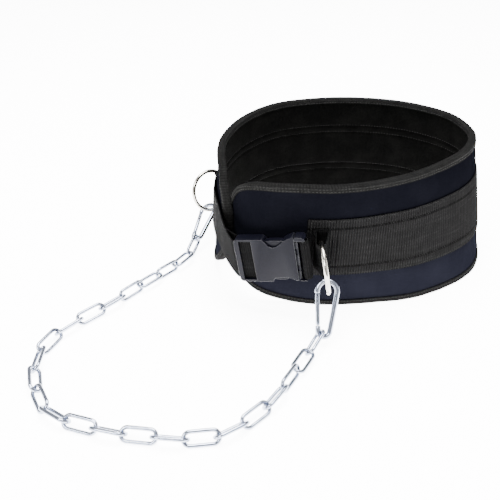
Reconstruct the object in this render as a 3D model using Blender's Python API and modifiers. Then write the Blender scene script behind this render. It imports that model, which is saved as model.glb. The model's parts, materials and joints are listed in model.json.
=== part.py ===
# Dip belt: a padded waist belt fastened at the front, with a ring on each side of the
# buckle, and a length of chain clipped between the rings by two snap hooks.
# Metres, +Z up, X to the right and -Y to the front. The belt stands on its lower rim and
# the chain lies on the same surface, in front of it and to the left.

import math

import bmesh
import bpy
from mathutils import Matrix, Vector

# Clearances
GAP = 0.0003            # between pieces that touch
SKIN_GAP = 0.0005       # between layers that are sewn along the belt's curve
CUT_PAST = 0.010        # how far a cutter reaches past what it cuts
CUT_LAP = 0.0010        # and into another cutter

# Padded panel
WAIST_HALF_WIDTH = 0.162    # centre to outer face at the top rim, sideways
WAIST_HALF_DEPTH = 0.142    # the same, front to back
PANEL_HEIGHT = 0.160
PANEL_WALL = 0.006
HIP_FLARE = 0.030           # how far the lower rim stands out where it flares most
TIP_LOW = 0.070             # heights between which each end of the panel is cut straight
TIP_HIGH = 0.100
RIGHT_LOWER_RUN = 0.125     # lengths of the rounded corners, measured along the belt
RIGHT_UPPER_RUN = 0.050
LEFT_LOWER_RUN = 0.110
LEFT_UPPER_RUN = 0.060
STATION_TURN = math.radians(7.5)    # most that the faceted wall turns between two stations
STATION_STEP = 0.030                # longest facet
SHORTEST_STEP = 0.0012              # and the shortest
CORNER_SHARES = (0.02, 0.08, 0.18, 0.32, 0.5, 0.72)     # where a rounded corner is faceted

# Edge binding
BINDING_DEPTH = 0.007
BINDING_TAPE = 0.0010
BINDING_EDGE = 0.0014

# Wide webbing round the outside
WEB_WIDTH = 0.075
WEB_THICKNESS = 0.0020
WEB_CENTRE = 0.083
WEB_FROM_RIGHT_TIP = 0.098
WEB_FROM_LEFT_TIP = 0.060

# Buckle straps
STRAP_WIDTH = 0.050
STRAP_THICKNESS = 0.0018
STRAP_CENTRE = 0.078
LEFT_STRAP_CENTRE = 0.088    # where it is sewn to the panel's left end
STRAP_SEWN_LENGTH = 0.110   # how far the left strap is sewn back from the panel's tip
STRAP_PAST_TIP = 0.006      # straight run of the left strap past the panel's tip
STRAP_BULGE = Vector((-0.003, 0, 0))   # how far it bows out on its way to the buckle
STRAP_LEAVES_WALL = math.radians(84)    # heading of the right strap from the buckle's bar
STRAP_WRAP = 0.0046         # radius of the right strap's turn round the plug's bar
STRAP_BEND = 0.0050         # length of its bend on to the webbing, on each side
STRAP_LAYERS_CLOSE = 0.0035 # from the turn to where its two layers lie together
STRAP_TO_LOOP = 0.0020      # from its sewn end to the ring's loop
STRAP_RISE = 0.0020         # its sewn end is this much higher than the left strap
STRAP_LEAD = 0.0100         # part of the left strap that guides the start of its free run
STRAP_BOW_SHARE = 0.55      # where that run bows out most
# Loose tail of the left strap, from the belt's left and front limits
TAIL_MIDDLE = Vector((0.0145 - WAIST_HALF_WIDTH, 0.0195 - WAIST_HALF_DEPTH, 0.0710))
TAIL_END = Vector((0.0090 - WAIST_HALF_WIDTH, 0.0420 - WAIST_HALF_DEPTH, 0.0660))

# Side release buckle
BUCKLE_CENTRE = Vector((0.0580 - WAIST_HALF_WIDTH, -0.0125 - WAIST_HALF_DEPTH, 0.0765))
BUCKLE_YAW = math.radians(-15)      # its right end stands forward
BUCKLE_ROLL = math.radians(-9.5)      # and a little higher
BUCKLE_HEIGHT = 0.0555
BUCKLE_DEPTH = 0.013
BUCKLE_WALL = 0.0024
BUCKLE_ROUND = 0.0022       # rounded edges
BUCKLE_RIM = 0.0030         # wall above and below the room for the plug
SLOT_SIDE = 0.0005          # room beside a strap in its slot
SOCKET_LEFT = -0.0350
SOCKET_RIGHT = 0.0345
SLOT_LEFT = -0.0297
SLOT_RIGHT = -0.0150
SLOT_BAR = 0.0042           # width of the bar that the left strap goes round
SLOT_BAR_DEPTH = 0.0033
OUTER_BAR_DEPTH = 0.0034
ENTRY_DEPTH = 0.0030        # front wall where the strap turns round the bar
TURN_ROOM = 0.0062          # room to the right of the bar for that turn
TURN_OFFSET = 0.0006        # middle of the turn, right of the slot's end
PLUG_RIGHT = 0.0465
PLUG_BAR = 0.0040
PLUG_BAR_DEPTH = 0.0044
NOTCH_LEFT = -0.0010        # window for the release arms, in the socket's two edges
NOTCH_RIGHT = 0.0255
NOTCH_DEPTH = 0.0095
NOTCH_ROUND = 0.0030
ROOM_PAST_NOTCH = 0.0015
ARM_WIDTH = 0.0075
ARM_FROM_EDGE = 0.0050
ARM_GAP = 0.0005            # from the window's end to the arm
PAD_FROM_EDGE = 0.0015      # release pad on each arm
PAD_GAP_LEFT = 0.0008
PAD_GAP_RIGHT = 0.0012
PAD_ROUND = 0.0018
TONGUE_HALF = 0.0060
TONGUE_START = 0.0060
ROOT_LAP = 0.0020           # how far the arms and the tongue run into the plug's base
PLUG_SLOT = 0.0050

# Rings
RING_RADIUS = 0.0275        # to the middle of the wire
RING_WIRE = 0.0025          # radius of the wire
RING_SIDES = 8
RING_SEGMENTS = 28
RIGHT_RING_CENTRE = Vector((0.1190 - WAIST_HALF_WIDTH, -0.0415 - WAIST_HALF_DEPTH, 0.084))
RIGHT_RING_LEAN = math.radians(10)
LEFT_RING_BACK = 0.2676      # share of WAIST_HALF_DEPTH behind the belt's middle
LEFT_RING_CENTRE = Vector((-0.0175 - WAIST_HALF_WIDTH, LEFT_RING_BACK * WAIST_HALF_DEPTH, 0.061))
LEFT_RING_YAW = math.radians(38)
LEFT_RING_LEAN = math.radians(15)

# Webbing loops that hold the rings
LOOP_HEIGHT = 0.022
LOOP_BASE = 0.0075          # half of the flat foot sewn to the webbing
LOOP_THICKNESS = 0.0016
LOOP_BORE = 0.0049          # inner radius of the bow round the ring's wire

# Snap hooks
HOOK_LENGTH = 0.068
HOOK_WIDTH = 0.028
HOOK_FOOT_WIDTH = 0.019
HOOK_WIRE = 0.003           # radius of the wire
GATE_WIRE = 0.0025
GATE_START = 0.0085         # from the foot bend's end to the hinge, along the limb
GATE_LENGTH = 0.0335
LEFT_HOOK_DIRECTION = Vector((-0.286, -0.886, -0.371))   # from its ring to the chain
LEFT_HOOK_HOLD = math.radians(-110)     # place on its ring, from the limb by the wall
LEFT_HOOK_TURN = math.radians(-62)      # from the ring's wire, about the hook's length
RIGHT_HOOK_DIRECTION = Vector((-0.085, -0.535, -0.840))
RIGHT_HOOK_HOLD = math.radians(-90)
RIGHT_HOOK_TURN = math.radians(-95)

# Chain
LINK_COUNT = 24
LINK_WIRE = 0.0020          # radius of the wire
LINK_WIDTH = 0.0170         # outside
LINK_SLACK = 0.0008         # play at each joint
LINK_SIDES = 6
LINK_END_SEGMENTS = 6
CHAIN_ROUTE = [             # middle of the chain on the surface, from left to right
    (-0.210, -0.055), (-0.251, -0.103), (-0.292, -0.151), (-0.334, -0.193),
    (-0.351, -0.226), (-0.347, -0.270), (-0.320, -0.316), (-0.266, -0.337),
    (-0.212, -0.346), (-0.156, -0.346), (-0.109, -0.311), (-0.073, -0.257),
    (-0.056, -0.226),
]
CHAIN_ROLLS = [(3, 0), (6, 45), (20, 45)]   # link's number from the left, degrees
FIRST_ROLL = -45            # degrees that the first and the last link are nearest to
LAST_ROLL = 135

# Outer face of the panel at the top rim, from the right end's tip, round the front, the
# right side, the back and the left side to the left end's tip. Columns: share of
# WAIST_HALF_WIDTH to the right, share of WAIST_HALF_DEPTH to the back, share of HIP_FLARE.
PLAN = [
    (-0.880, -0.730, 0.05),
    (-0.805, -0.868, 0.00),
    (-0.685, -0.955, 0.00),
    (-0.451, -0.990, 0.00),
    (-0.167, -1.000, 0.00),
    (0.130, -0.915, 0.28),
    (0.457, -0.725, 0.85),
    (0.809, -0.380, 1.25),
    (0.985, -0.028, 1.10),
    (1.000, 0.303, 0.85),
    (0.900, 0.600, 0.50),
    (0.611, 0.870, 0.30),
    (0.241, 0.990, 0.15),
    (-0.142, 0.980, 0.10),
    (-0.531, 0.830, 0.15),
    (-0.809, 0.490, 0.25),
    (-0.963, 0.070, 0.30),
    (-1.000, -0.296, 0.30),
    (-0.969, -0.620, 0.25),
]


# Scene

def clear_scene():
    for obj in list(bpy.data.objects):
        bpy.data.objects.remove(obj, do_unlink=True)


def new_collection(name):
    collection = bpy.data.collections.new(name)
    bpy.context.scene.collection.children.link(collection)
    return collection


def make_material(name, colour, roughness, metallic=0.0):
    material = bpy.data.materials.new(name)
    material.use_nodes = True
    shader = material.node_tree.nodes["Principled BSDF"]
    shader.inputs["Base Color"].default_value = (*colour, 1.0)
    shader.inputs["Roughness"].default_value = roughness
    shader.inputs["Metallic"].default_value = metallic
    material.diffuse_color = (*colour, 1.0)
    return material


def place_in(collection, obj, material):
    for home in list(obj.users_collection):
        home.objects.unlink(obj)
    collection.objects.link(obj)
    if material is not None:
        obj.data.materials.clear()
        obj.data.materials.append(material)
    return obj


def face_outwards(bm):
    bmesh.ops.recalc_face_normals(bm, faces=bm.faces)
    if bm.calc_volume(signed=True) < 0:
        bmesh.ops.reverse_faces(bm, faces=bm.faces)


def mesh_object(collection, name, bm, material):
    face_outwards(bm)
    mesh = bpy.data.meshes.new(name)
    bm.to_mesh(mesh)
    bm.free()
    return place_in(collection, bpy.data.objects.new(name, mesh), material)


# Loft of equal rings of points, open with two caps or closed into a loop

def loft(rings, closed=False):
    bm = bmesh.new()
    rows = [[bm.verts.new(point) for point in ring] for ring in rings]
    pairs = list(zip(rows, rows[1:]))
    if closed:
        pairs.append((rows[-1], rows[0]))
    for low, high in pairs:
        for i in range(len(low)):
            j = (i + 1) % len(low)
            bm.faces.new((low[i], low[j], high[j], high[i]))
    if not closed:
        bm.faces.new(rows[0])
        bm.faces.new(list(reversed(rows[-1])))
    bmesh.ops.triangulate(bm, faces=bm.faces, quad_method="FIXED")
    return bm


def catmull_rom(points, steps):
    curve = []
    padded = [points[0] * 2 - points[1]] + list(points) + [points[-1] * 2 - points[-2]]
    for a, b, c, d in zip(padded, padded[1:], padded[2:], padded[3:]):
        for i in range(steps):
            t = i / steps
            curve.append(0.5 * ((b * 2) + (c - a) * t + (a * 2 - b * 5 + c * 4 - d) * t * t
                                + (b * 3 - a - c * 3 + d) * t * t * t))
    curve.append(points[-1].copy())
    return curve


# Plan of the belt: stations along the outer face, with their outward directions

class Plan:
    """Faceted outer face of the panel, addressed by the distance from its right tip."""

    def __init__(self):
        rows = [Vector((x * WAIST_HALF_WIDTH, y * WAIST_HALF_DEPTH, flare * HIP_FLARE))
                for x, y, flare in PLAN]
        fine = catmull_rom(rows, 24)
        self.at = [0.0]
        self.points = [fine[0]]
        heading = None
        turned = 0.0
        walked = 0.0
        for before, here in zip(fine, fine[1:]):
            step = (here - before).to_2d()
            direction = math.atan2(step.y, step.x)
            if heading is not None:
                turn = (direction - heading + math.pi) % math.tau - math.pi
                if abs(turned + turn) > STATION_TURN or walked > STATION_STEP:
                    self.add(before)
                    turned = 0.0
                    walked = 0.0
                turned += turn
            heading = direction
            walked += step.length
        self.add(fine[-1])
        self.length = self.at[-1]
        self.outward = [self.station_normal(i) for i in range(len(self.points))]

    def add(self, point):
        self.at.append(self.at[-1] + (point - self.points[-1]).to_2d().length)
        self.points.append(point)

    def station_normal(self, i):
        before = self.points[max(i - 1, 0)].to_2d()
        here = self.points[i].to_2d()
        after = self.points[min(i + 1, len(self.points) - 1)].to_2d()
        normals = []
        for a, b in ((before, here), (here, after)):
            along = b - a
            if along.length > 0:
                along.normalize()
                normals.append(Vector((along.y, -along.x)))
        mean = sum(normals, Vector((0, 0))).normalized()
        return mean / mean.dot(normals[0])

    def point(self, s, z, out):
        """World point at distance s along the belt, height z, and out from the outer face."""
        i = 0
        while i < len(self.at) - 2 and self.at[i + 1] < s:
            i += 1
        t = (s - self.at[i]) / (self.at[i + 1] - self.at[i])
        base = self.points[i].lerp(self.points[i + 1], t)
        normal = self.outward[i].lerp(self.outward[i + 1], t)
        spread = base.z * (1 - z / PANEL_HEIGHT) + out
        return Vector((base.x + normal.x * spread, base.y + normal.y * spread, z))

    def normal(self, s):
        a = self.point(s - 0.004, WEB_CENTRE, 0)
        b = self.point(s + 0.004, WEB_CENTRE, 0)
        along = (b - a).normalized()
        return Vector((along.y, -along.x, 0))

    def nearest(self, target):
        """Distance along the belt of the point nearest to the target, seen from above."""
        steps = 2000
        spots = [self.length * i / steps for i in range(steps + 1)]
        return min(spots, key=lambda s: (self.point(s, target.z, 0) - target).length)


# Outline of the panel in distance along the belt and height; inset moves it inwards

def corner(distance, run, rise, inset):
    """How far a rounded corner's edge is from the level edge, at a distance from the tip."""
    if distance >= run:
        return inset
    share = (run - distance) / (run - inset)
    return rise - (rise - inset) * math.sqrt(max(0.0, 1 - share * share))


def lower_edge(plan, s, inset):
    right = corner(s, RIGHT_LOWER_RUN, TIP_LOW, inset)
    left = corner(plan.length - s, LEFT_LOWER_RUN, TIP_LOW, inset)
    return max(right, left)


def upper_edge(plan, s, inset):
    rise = PANEL_HEIGHT - TIP_HIGH
    right = corner(s, RIGHT_UPPER_RUN, rise, inset)
    left = corner(plan.length - s, LEFT_UPPER_RUN, rise, inset)
    return PANEL_HEIGHT - max(right, left)


def edge_distances(plan, inset):
    """Stations of the panel: those of the plan, and those that round its corners."""
    spots = {inset, plan.length - inset}
    spots.update(s for s in plan.at if inset + 0.001 < s < plan.length - inset - 0.001)
    for share in CORNER_SHARES:
        for run in (RIGHT_LOWER_RUN, RIGHT_UPPER_RUN):
            spots.add(inset + run * share)
        for run in (LEFT_LOWER_RUN, LEFT_UPPER_RUN):
            spots.add(plan.length - inset - run * share)
    tidy = []
    for s in sorted(spots):
        if not tidy or s - tidy[-1] > SHORTEST_STEP or s in plan.at:
            if tidy and s - tidy[-1] <= SHORTEST_STEP and tidy[-1] not in plan.at:
                tidy.pop()
            tidy.append(s)
    return tidy


def row_heights(low, high):
    """Rows of the wall: its two edges, and the webbing's two edges where it has room."""
    reach = (high - low) * 0.25
    web_low = WEB_CENTRE - WEB_WIDTH / 2
    web_high = WEB_CENTRE + WEB_WIDTH / 2
    return [low, max(web_low, low + reach), min(web_high, high - reach), high]


# Padded panel: foam between two cloths, one closed wall

def make_panel(collection, plan, material):
    inset = BINDING_EDGE + SKIN_GAP
    rings = []
    for s in edge_distances(plan, inset):
        low = lower_edge(plan, s, inset)
        high = upper_edge(plan, s, inset)
        heights = row_heights(low, high)
        ring = [plan.point(s, z, 0.0) for z in heights]
        ring += [plan.point(s, z, -PANEL_WALL) for z in reversed(heights)]
        rings.append(ring)
    return mesh_object(collection, "belt_panel", loft(rings), material)


# Binding: a folded tape over the panel's whole edge

def outline_loop(plan):
    """The panel's edge as (distance, height) pairs, right round, lower edge first."""
    spots = edge_distances(plan, 0.0)
    lower = [(s, lower_edge(plan, s, 0.0)) for s in spots]
    upper = [(s, upper_edge(plan, s, 0.0)) for s in spots]
    return lower + list(reversed(upper))


def make_binding(collection, plan, material):
    edge = outline_loop(plan)
    outer = BINDING_TAPE + SKIN_GAP
    inner = -PANEL_WALL - SKIN_GAP
    profile = [
        (BINDING_DEPTH, outer), (0.0, outer), (0.0, inner - BINDING_TAPE),
        (BINDING_DEPTH, inner - BINDING_TAPE), (BINDING_DEPTH, inner),
        (BINDING_EDGE, inner), (BINDING_EDGE, SKIN_GAP), (BINDING_DEPTH, SKIN_GAP),
    ]
    rings = []
    count = len(edge)
    for i, (s, z) in enumerate(edge):
        before = Vector(edge[i - 1])
        here = Vector((s, z))
        after = Vector(edge[(i + 1) % count])
        first = (here - before).normalized()
        second = (after - here).normalized()
        along = (first + second).normalized()
        inward = Vector((-along.y, along.x))
        reach = 1 / max(0.7, inward.dot(Vector((-first.y, first.x))))
        ring = []
        for depth, out in profile:
            spot = here + inward * depth * reach
            ring.append(plan.point(spot.x, spot.y, out))
        rings.append(ring)
    return mesh_object(collection, "edge_binding", loft(rings, closed=True), material)


# Strip of webbing that follows the panel's outer face

def face_strip(plan, start, end, centre, width, out, thickness):
    inset = BINDING_EDGE + SKIN_GAP
    inner = [s for s in edge_distances(plan, inset) if start + 0.001 < s < end - 0.001]
    spots = [start] + inner + [end]
    low = centre - width / 2
    high = centre + width / 2
    return [[plan.point(s, low, out), plan.point(s, high, out),
             plan.point(s, high, out + thickness), plan.point(s, low, out + thickness)]
            for s in spots]


def make_waist_webbing(collection, plan, material):
    rings = face_strip(plan, WEB_FROM_RIGHT_TIP, plan.length - WEB_FROM_LEFT_TIP,
                       WEB_CENTRE, WEB_WIDTH, SKIN_GAP, WEB_THICKNESS)
    return mesh_object(collection, "waist_webbing", loft(rings), material)


# Band along a free path: a flat strap whose width runs along the given up directions

def band_rings(path, ups, width, thickness, closed=False):
    rings = []
    count = len(path)
    for i, (here, up) in enumerate(zip(path, ups)):
        before = path[(i - 1) % count] if closed or i else here
        after = path[(i + 1) % count] if closed or i < count - 1 else here
        first = (here - before).normalized() if before != here else None
        second = (after - here).normalized() if after != here else None
        first = first or second
        second = second or first
        along = (first + second).normalized()
        normal = along.cross(up).normalized()
        mitre = 1 / max(0.5, normal.dot(first.cross(up).normalized()))
        side = normal * thickness / 2 * mitre
        half = up.normalized() * width / 2
        rings.append([here - half - side, here + half - side,
                      here + half + side, here - half + side])
    return rings


def layer(path, ups, offsets):
    """The path moved to one side of the band by the given offsets."""
    moved = []
    for i, (here, up) in enumerate(zip(path, ups)):
        along = path[min(i + 1, len(path) - 1)] - path[max(i - 1, 0)]
        moved.append(here + along.cross(up).normalized() * offsets[i])
    return moved


# Frame of the buckle: x to its right end, y towards its back, z up

def buckle_frame():
    turn = Matrix.Rotation(BUCKLE_YAW, 4, "Z") @ Matrix.Rotation(BUCKLE_ROLL, 4, "Y")
    return Matrix.Translation(BUCKLE_CENTRE) @ turn


def box(collection, name, low, high, bevel=0.0):
    bm = bmesh.new()
    bmesh.ops.create_cube(bm, size=1.0)
    size = Vector(high) - Vector(low)
    bmesh.ops.scale(bm, vec=size, verts=bm.verts)
    bmesh.ops.translate(bm, vec=(Vector(low) + Vector(high)) / 2, verts=bm.verts)
    obj = mesh_object(collection, name, bm, None)
    if bevel:
        add_bevel(obj, bevel)
    return obj


def add_bevel(obj, width, segments=2):
    bevel = obj.modifiers.new("rounded", "BEVEL")
    bevel.width = width
    bevel.segments = segments
    bevel.limit_method = "ANGLE"
    bevel.angle_limit = math.radians(40)


def cut(obj, cutter):
    cutter.hide_render = True
    cutter.display_type = "WIRE"
    step = obj.modifiers.new("cut", "BOOLEAN")
    step.operation = "DIFFERENCE"
    step.solver = "EXACT"
    step.object = cutter


def join(obj, other):
    other.hide_render = True
    other.display_type = "WIRE"
    step = obj.modifiers.new("join", "BOOLEAN")
    step.operation = "UNION"
    step.solver = "EXACT"
    step.object = other


def make_socket(parts, cutters, frame, material):
    """Left half: a hollow body, with an adjusting slot for the left strap."""
    half_height = BUCKLE_HEIGHT / 2
    front = -BUCKLE_DEPTH / 2
    back = BUCKLE_DEPTH / 2
    socket = box(parts, "buckle_socket", (SOCKET_LEFT, front, -half_height),
                 (SOCKET_RIGHT, back, half_height), BUCKLE_ROUND)
    socket.data.materials.append(material)
    slot_half = STRAP_WIDTH / 2 + SLOT_SIDE
    outer_bar = front + OUTER_BAR_DEPTH
    bar_front = outer_bar + 2 * GAP + STRAP_THICKNESS
    bar_left = SLOT_RIGHT - SLOT_BAR
    turn_right = SLOT_RIGHT + TURN_ROOM
    cuts = [
        # Slot in front of the bar, and the way in behind the outer bar
        box(cutters, "cut_slot", (SLOT_LEFT, front - CUT_PAST, -slot_half),
            (SLOT_RIGHT, bar_front, slot_half)),
        box(cutters, "cut_back", (SOCKET_LEFT - CUT_PAST, outer_bar, -slot_half),
            (bar_left, back + CUT_PAST, slot_half)),
        box(cutters, "cut_return",
            (bar_left - CUT_LAP, bar_front + SLOT_BAR_DEPTH, -slot_half),
            (turn_right, back + CUT_PAST, slot_half)),
        box(cutters, "cut_turn", (SLOT_RIGHT - GAP, front + ENTRY_DEPTH, -slot_half),
            (turn_right, back + CUT_PAST, slot_half)),
        # Room for the plug
        box(cutters, "cut_room",
            (NOTCH_LEFT - ROOM_PAST_NOTCH, front + BUCKLE_WALL, BUCKLE_RIM - half_height),
            (SOCKET_RIGHT + CUT_PAST, back - BUCKLE_WALL, half_height - BUCKLE_RIM)),
    ]
    for side in (-1, 1):
        low, high = sorted((side * (half_height - NOTCH_DEPTH), side * (half_height + CUT_PAST)))
        cuts.append(box(cutters, "cut_notch", (NOTCH_LEFT, front - CUT_PAST, low),
                        (NOTCH_RIGHT, back + CUT_PAST, high), NOTCH_ROUND))
    for cutter in cuts:
        cutter.matrix_world = frame
        cut(socket, cutter)
    socket.matrix_world = frame
    return socket


def make_plug(parts, cutters, frame, material):
    """Right half: a base with a strap bar, a guide tongue and two release arms."""
    half_height = BUCKLE_HEIGHT / 2
    thick = BUCKLE_DEPTH / 2 - BUCKLE_WALL - GAP
    plug = box(parts, "buckle_plug", (SOCKET_RIGHT + GAP, -BUCKLE_DEPTH / 2, -half_height),
               (PLUG_RIGHT, BUCKLE_DEPTH / 2, half_height), BUCKLE_ROUND)
    plug.data.materials.append(material)
    root = SOCKET_RIGHT + ROOT_LAP
    pieces = [box(cutters, "add_tongue", (NOTCH_LEFT + TONGUE_START, -thick, -TONGUE_HALF),
                  (root, thick, TONGUE_HALF))]
    for side in (-1, 1):
        inner = side * (half_height - ARM_FROM_EDGE - ARM_WIDTH)
        outer = side * (half_height - ARM_FROM_EDGE)
        low, high = sorted((inner, outer))
        pieces.append(box(cutters, "add_arm", (NOTCH_LEFT + ARM_GAP, -thick, low),
                          (root, thick, high)))
        outer = side * (half_height - PAD_FROM_EDGE)
        low, high = sorted((inner, outer))
        pieces.append(box(cutters, "add_pad", (NOTCH_LEFT + PAD_GAP_LEFT, -thick, low),
                          (NOTCH_RIGHT - PAD_GAP_RIGHT, thick, high), PAD_ROUND))
    for piece in pieces:
        piece.matrix_world = frame
        join(plug, piece)
    slot_half = STRAP_WIDTH / 2 + SLOT_SIDE
    bar_start = PLUG_RIGHT - PLUG_BAR
    past = BUCKLE_DEPTH / 2 + CUT_PAST
    cutter = box(cutters, "cut_plug_slot", (bar_start - PLUG_SLOT, -past, -slot_half),
                 (bar_start, past, slot_half))
    cutter.matrix_world = frame
    cut(plug, cutter)
    bar = box(cutters, "cut_plug_bar", (bar_start - CUT_LAP, -past, -slot_half),
              (PLUG_RIGHT + CUT_PAST, -PLUG_BAR_DEPTH / 2, slot_half))
    back = box(cutters, "cut_plug_back", (bar_start - CUT_LAP, PLUG_BAR_DEPTH / 2, -slot_half),
               (PLUG_RIGHT + CUT_PAST, past, slot_half))
    for cutter in (bar, back):
        cutter.matrix_world = frame
        cut(plug, cutter)
    plug.matrix_world = frame
    return plug


# Straps from the panel's ends to the buckle

def half_turn(centre, radius, first, second, steps=4):
    """Points of a half circle that starts along first and bulges along second."""
    return [centre + first * radius * math.cos(math.pi * i / steps)
            + second * radius * math.sin(math.pi * i / steps) for i in range(steps + 1)]


def make_left_strap(collection, plan, frame, material):
    """Sewn to the panel's left end, round the socket's bar and back as a loose tail."""
    buckle_up = frame.to_3x3() @ Vector((0, 0, 1))
    inner_face = SKIN_GAP + WEB_THICKNESS + SKIN_GAP
    tip = plan.length + STRAP_PAST_TIP
    rings = face_strip(plan, plan.length - STRAP_SEWN_LENGTH, tip,
                       LEFT_STRAP_CENTRE, STRAP_WIDTH, inner_face, STRAP_THICKNESS)
    middle_face = inner_face + STRAP_THICKNESS / 2
    leave = plan.point(tip, LEFT_STRAP_CENTRE, middle_face)
    lead = plan.point(tip - STRAP_LEAD, LEFT_STRAP_CENTRE, middle_face)
    tip_up = (plan.point(tip, PANEL_HEIGHT, middle_face) - leave).normalized()

    run_depth = -BUCKLE_DEPTH / 2 + OUTER_BAR_DEPTH + GAP + STRAP_THICKNESS / 2
    return_depth = BUCKLE_DEPTH / 2 - GAP
    entry = frame @ Vector((SOCKET_LEFT - BUCKLE_WALL, run_depth, 0))
    inside = frame @ Vector((SLOT_LEFT, run_depth, 0))
    bulge = leave.lerp(entry, STRAP_BOW_SHARE) + STRAP_BULGE
    free = catmull_rom([lead, leave, bulge, entry, inside], 4)[5:13]
    turn = half_turn(Vector((SLOT_RIGHT + TURN_OFFSET, (run_depth + return_depth) / 2, 0)),
                     (return_depth - run_depth) / 2, Vector((0, -1, 0)), Vector((1, 0, 0)))
    back = frame @ Vector((SLOT_LEFT, return_depth, 0))
    bar_run = [frame @ point for point in turn]
    tail = catmull_rom([bar_run[-1], back, TAIL_MIDDLE, TAIL_END], 3)[3:]
    path = free + bar_run + tail
    ups = [tip_up.lerp(buckle_up, (i + 1) / len(free)) for i in range(len(free))]
    ups += [buckle_up] * (len(bar_run) + len(tail))
    rings += band_rings([leave] + path, [tip_up] + ups, STRAP_WIDTH, STRAP_THICKNESS)[1:]
    return mesh_object(collection, "strap_left", loft(rings), material)


def make_right_strap(collection, plan, frame, material):
    """Round the plug's bar and sewn to itself, its end sewn down beside the ring's loop."""
    buckle_up = frame.to_3x3() @ Vector((0, 0, 1))
    end = plan.nearest(RIGHT_RING_CENTRE) - LOOP_BASE - LOOP_THICKNESS - STRAP_TO_LOOP
    apart = (STRAP_THICKNESS + SKIN_GAP) / 2
    out = SKIN_GAP + WEB_THICKNESS + SKIN_GAP + STRAP_THICKNESS / 2 + apart
    seam = plan.point(end, STRAP_CENTRE + STRAP_RISE, out)
    bar = frame @ Vector((PLUG_RIGHT - PLUG_BAR / 2, 0, 0))
    leaving = Vector((math.cos(STRAP_LEAVES_WALL), math.sin(STRAP_LEAVES_WALL), 0))
    wall = plan.normal(end)
    bend = bar - leaving * ((bar - seam).dot(wall) / leaving.dot(wall))
    bend.z = seam.z
    before = bend + (seam - bend).normalized() * STRAP_BEND
    after = bend + (bar - bend).normalized() * STRAP_BEND
    spine = [seam]
    for i in range(5):
        spine.append(before.lerp(bend, i / 4).lerp(bend.lerp(after, i / 4), i / 4))
    spine.append(bar + leaving * (STRAP_WRAP + STRAP_LAYERS_CLOSE))
    spine_ups = [Vector((0, 0, 1)).lerp(buckle_up, i / (len(spine) - 1))
                 for i in range(len(spine))]
    near_side = layer(spine, spine_ups, [apart] * len(spine))
    far_side = layer(spine, spine_ups, [-apart] * len(spine))
    side = leaving.cross(buckle_up).normalized()
    if (near_side[-1] - bar).dot(side) < 0:
        side = -side
    turn = half_turn(bar, STRAP_WRAP, side, -leaving)
    path = near_side + turn + list(reversed(far_side))
    ups = spine_ups + [buckle_up] * len(turn) + list(reversed(spine_ups))
    rings = band_rings(path, ups, STRAP_WIDTH, STRAP_THICKNESS)
    return mesh_object(collection, "strap_right", loft(rings), material)


# Rings and their loops

def axes_matrix(centre, x_axis, y_axis):
    z_axis = x_axis.cross(y_axis)
    rows = Matrix((x_axis, y_axis, z_axis)).transposed().to_4x4()
    return Matrix.Translation(centre) @ rows


def right_ring_frame():
    outward = Vector((0, 1, 0))
    upward = Vector((-math.sin(RIGHT_RING_LEAN), 0, math.cos(RIGHT_RING_LEAN)))
    return axes_matrix(RIGHT_RING_CENTRE, outward, upward)


def left_ring_frame():
    inward = Vector((math.cos(LEFT_RING_YAW), math.sin(LEFT_RING_YAW), 0))
    back = Vector((-inward.y, inward.x, 0))
    upward = back * math.sin(LEFT_RING_LEAN) + Vector((0, 0, math.cos(LEFT_RING_LEAN)))
    return axes_matrix(LEFT_RING_CENTRE, inward, upward)


def make_ring(collection, name, frame, material):
    bpy.ops.mesh.primitive_torus_add(major_radius=RING_RADIUS, minor_radius=RING_WIRE,
                                     major_segments=RING_SEGMENTS, minor_segments=RING_SIDES)
    ring = bpy.context.object
    ring.name = name
    ring.matrix_world = frame
    ring.data.shade_smooth()
    return place_in(collection, ring, material)


def make_loop(collection, name, plan, frame, material):
    """Closed band of webbing: a flat foot on the waist webbing and a bow round the ring."""
    held = frame @ Vector((RING_RADIUS, 0, 0))
    inward = frame.to_3x3() @ Vector((1, 0, 0))
    ring_up = frame.to_3x3() @ Vector((0, 1, 0))
    s = plan.nearest(held)
    foot = plan.point(s, held.z, SKIN_GAP + WEB_THICKNESS)
    wall_up = (plan.point(s, held.z + 0.01, SKIN_GAP + WEB_THICKNESS) - foot).normalized()
    level = plan.normal(s)
    along = Vector((-level.y, level.x, 0))
    outward = along.cross(wall_up).normalized()
    half = LOOP_THICKNESS / 2
    lift = half + SKIN_GAP
    path = [foot - along * LOOP_BASE + outward * lift, foot + along * LOOP_BASE + outward * lift]
    ups = [wall_up, wall_up]
    # Half of the ring's rise over the loop's height, so that its arc stays in the bow
    rise = RING_RADIUS - math.sqrt(RING_RADIUS ** 2 - (LOOP_HEIGHT / 2) ** 2)
    centre = held - inward * rise / 2
    away = (outward - ring_up * outward.dot(ring_up)).normalized()
    across = away.cross(ring_up).normalized()
    if across.dot(along) < 0:
        across = -across
    for i in range(9):
        angle = math.radians(-15 + 210 * i / 8)
        path.append(centre + (across * math.cos(angle) + away * math.sin(angle))
                    * (LOOP_BORE + half))
        ups.append(ring_up)
    rings = band_rings(path, ups, LOOP_HEIGHT, LOOP_THICKNESS, closed=True)
    return mesh_object(collection, name, loft(rings, closed=True), material)


# Bent wire: a poly line with a round bevel and filled caps

def wire_mesh(path, radius, sides):
    rings = []
    count = len(path)
    for i, here in enumerate(path):
        before = path[i - 1] if i else here
        after = path[i + 1] if i < count - 1 else here
        first = (here - before).normalized() if i else None
        second = (after - here).normalized() if i < count - 1 else None
        first = first or second
        second = second or first
        along = (first + second).normalized()
        across = along.cross(Vector((0, 0, 1))).normalized()
        rings.append([here + (across * math.cos(math.tau * k / sides)
                              + Vector((0, 0, 1)) * math.sin(math.tau * k / sides)) * radius
                      for k in range(sides)])
    return loft(rings)


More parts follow.
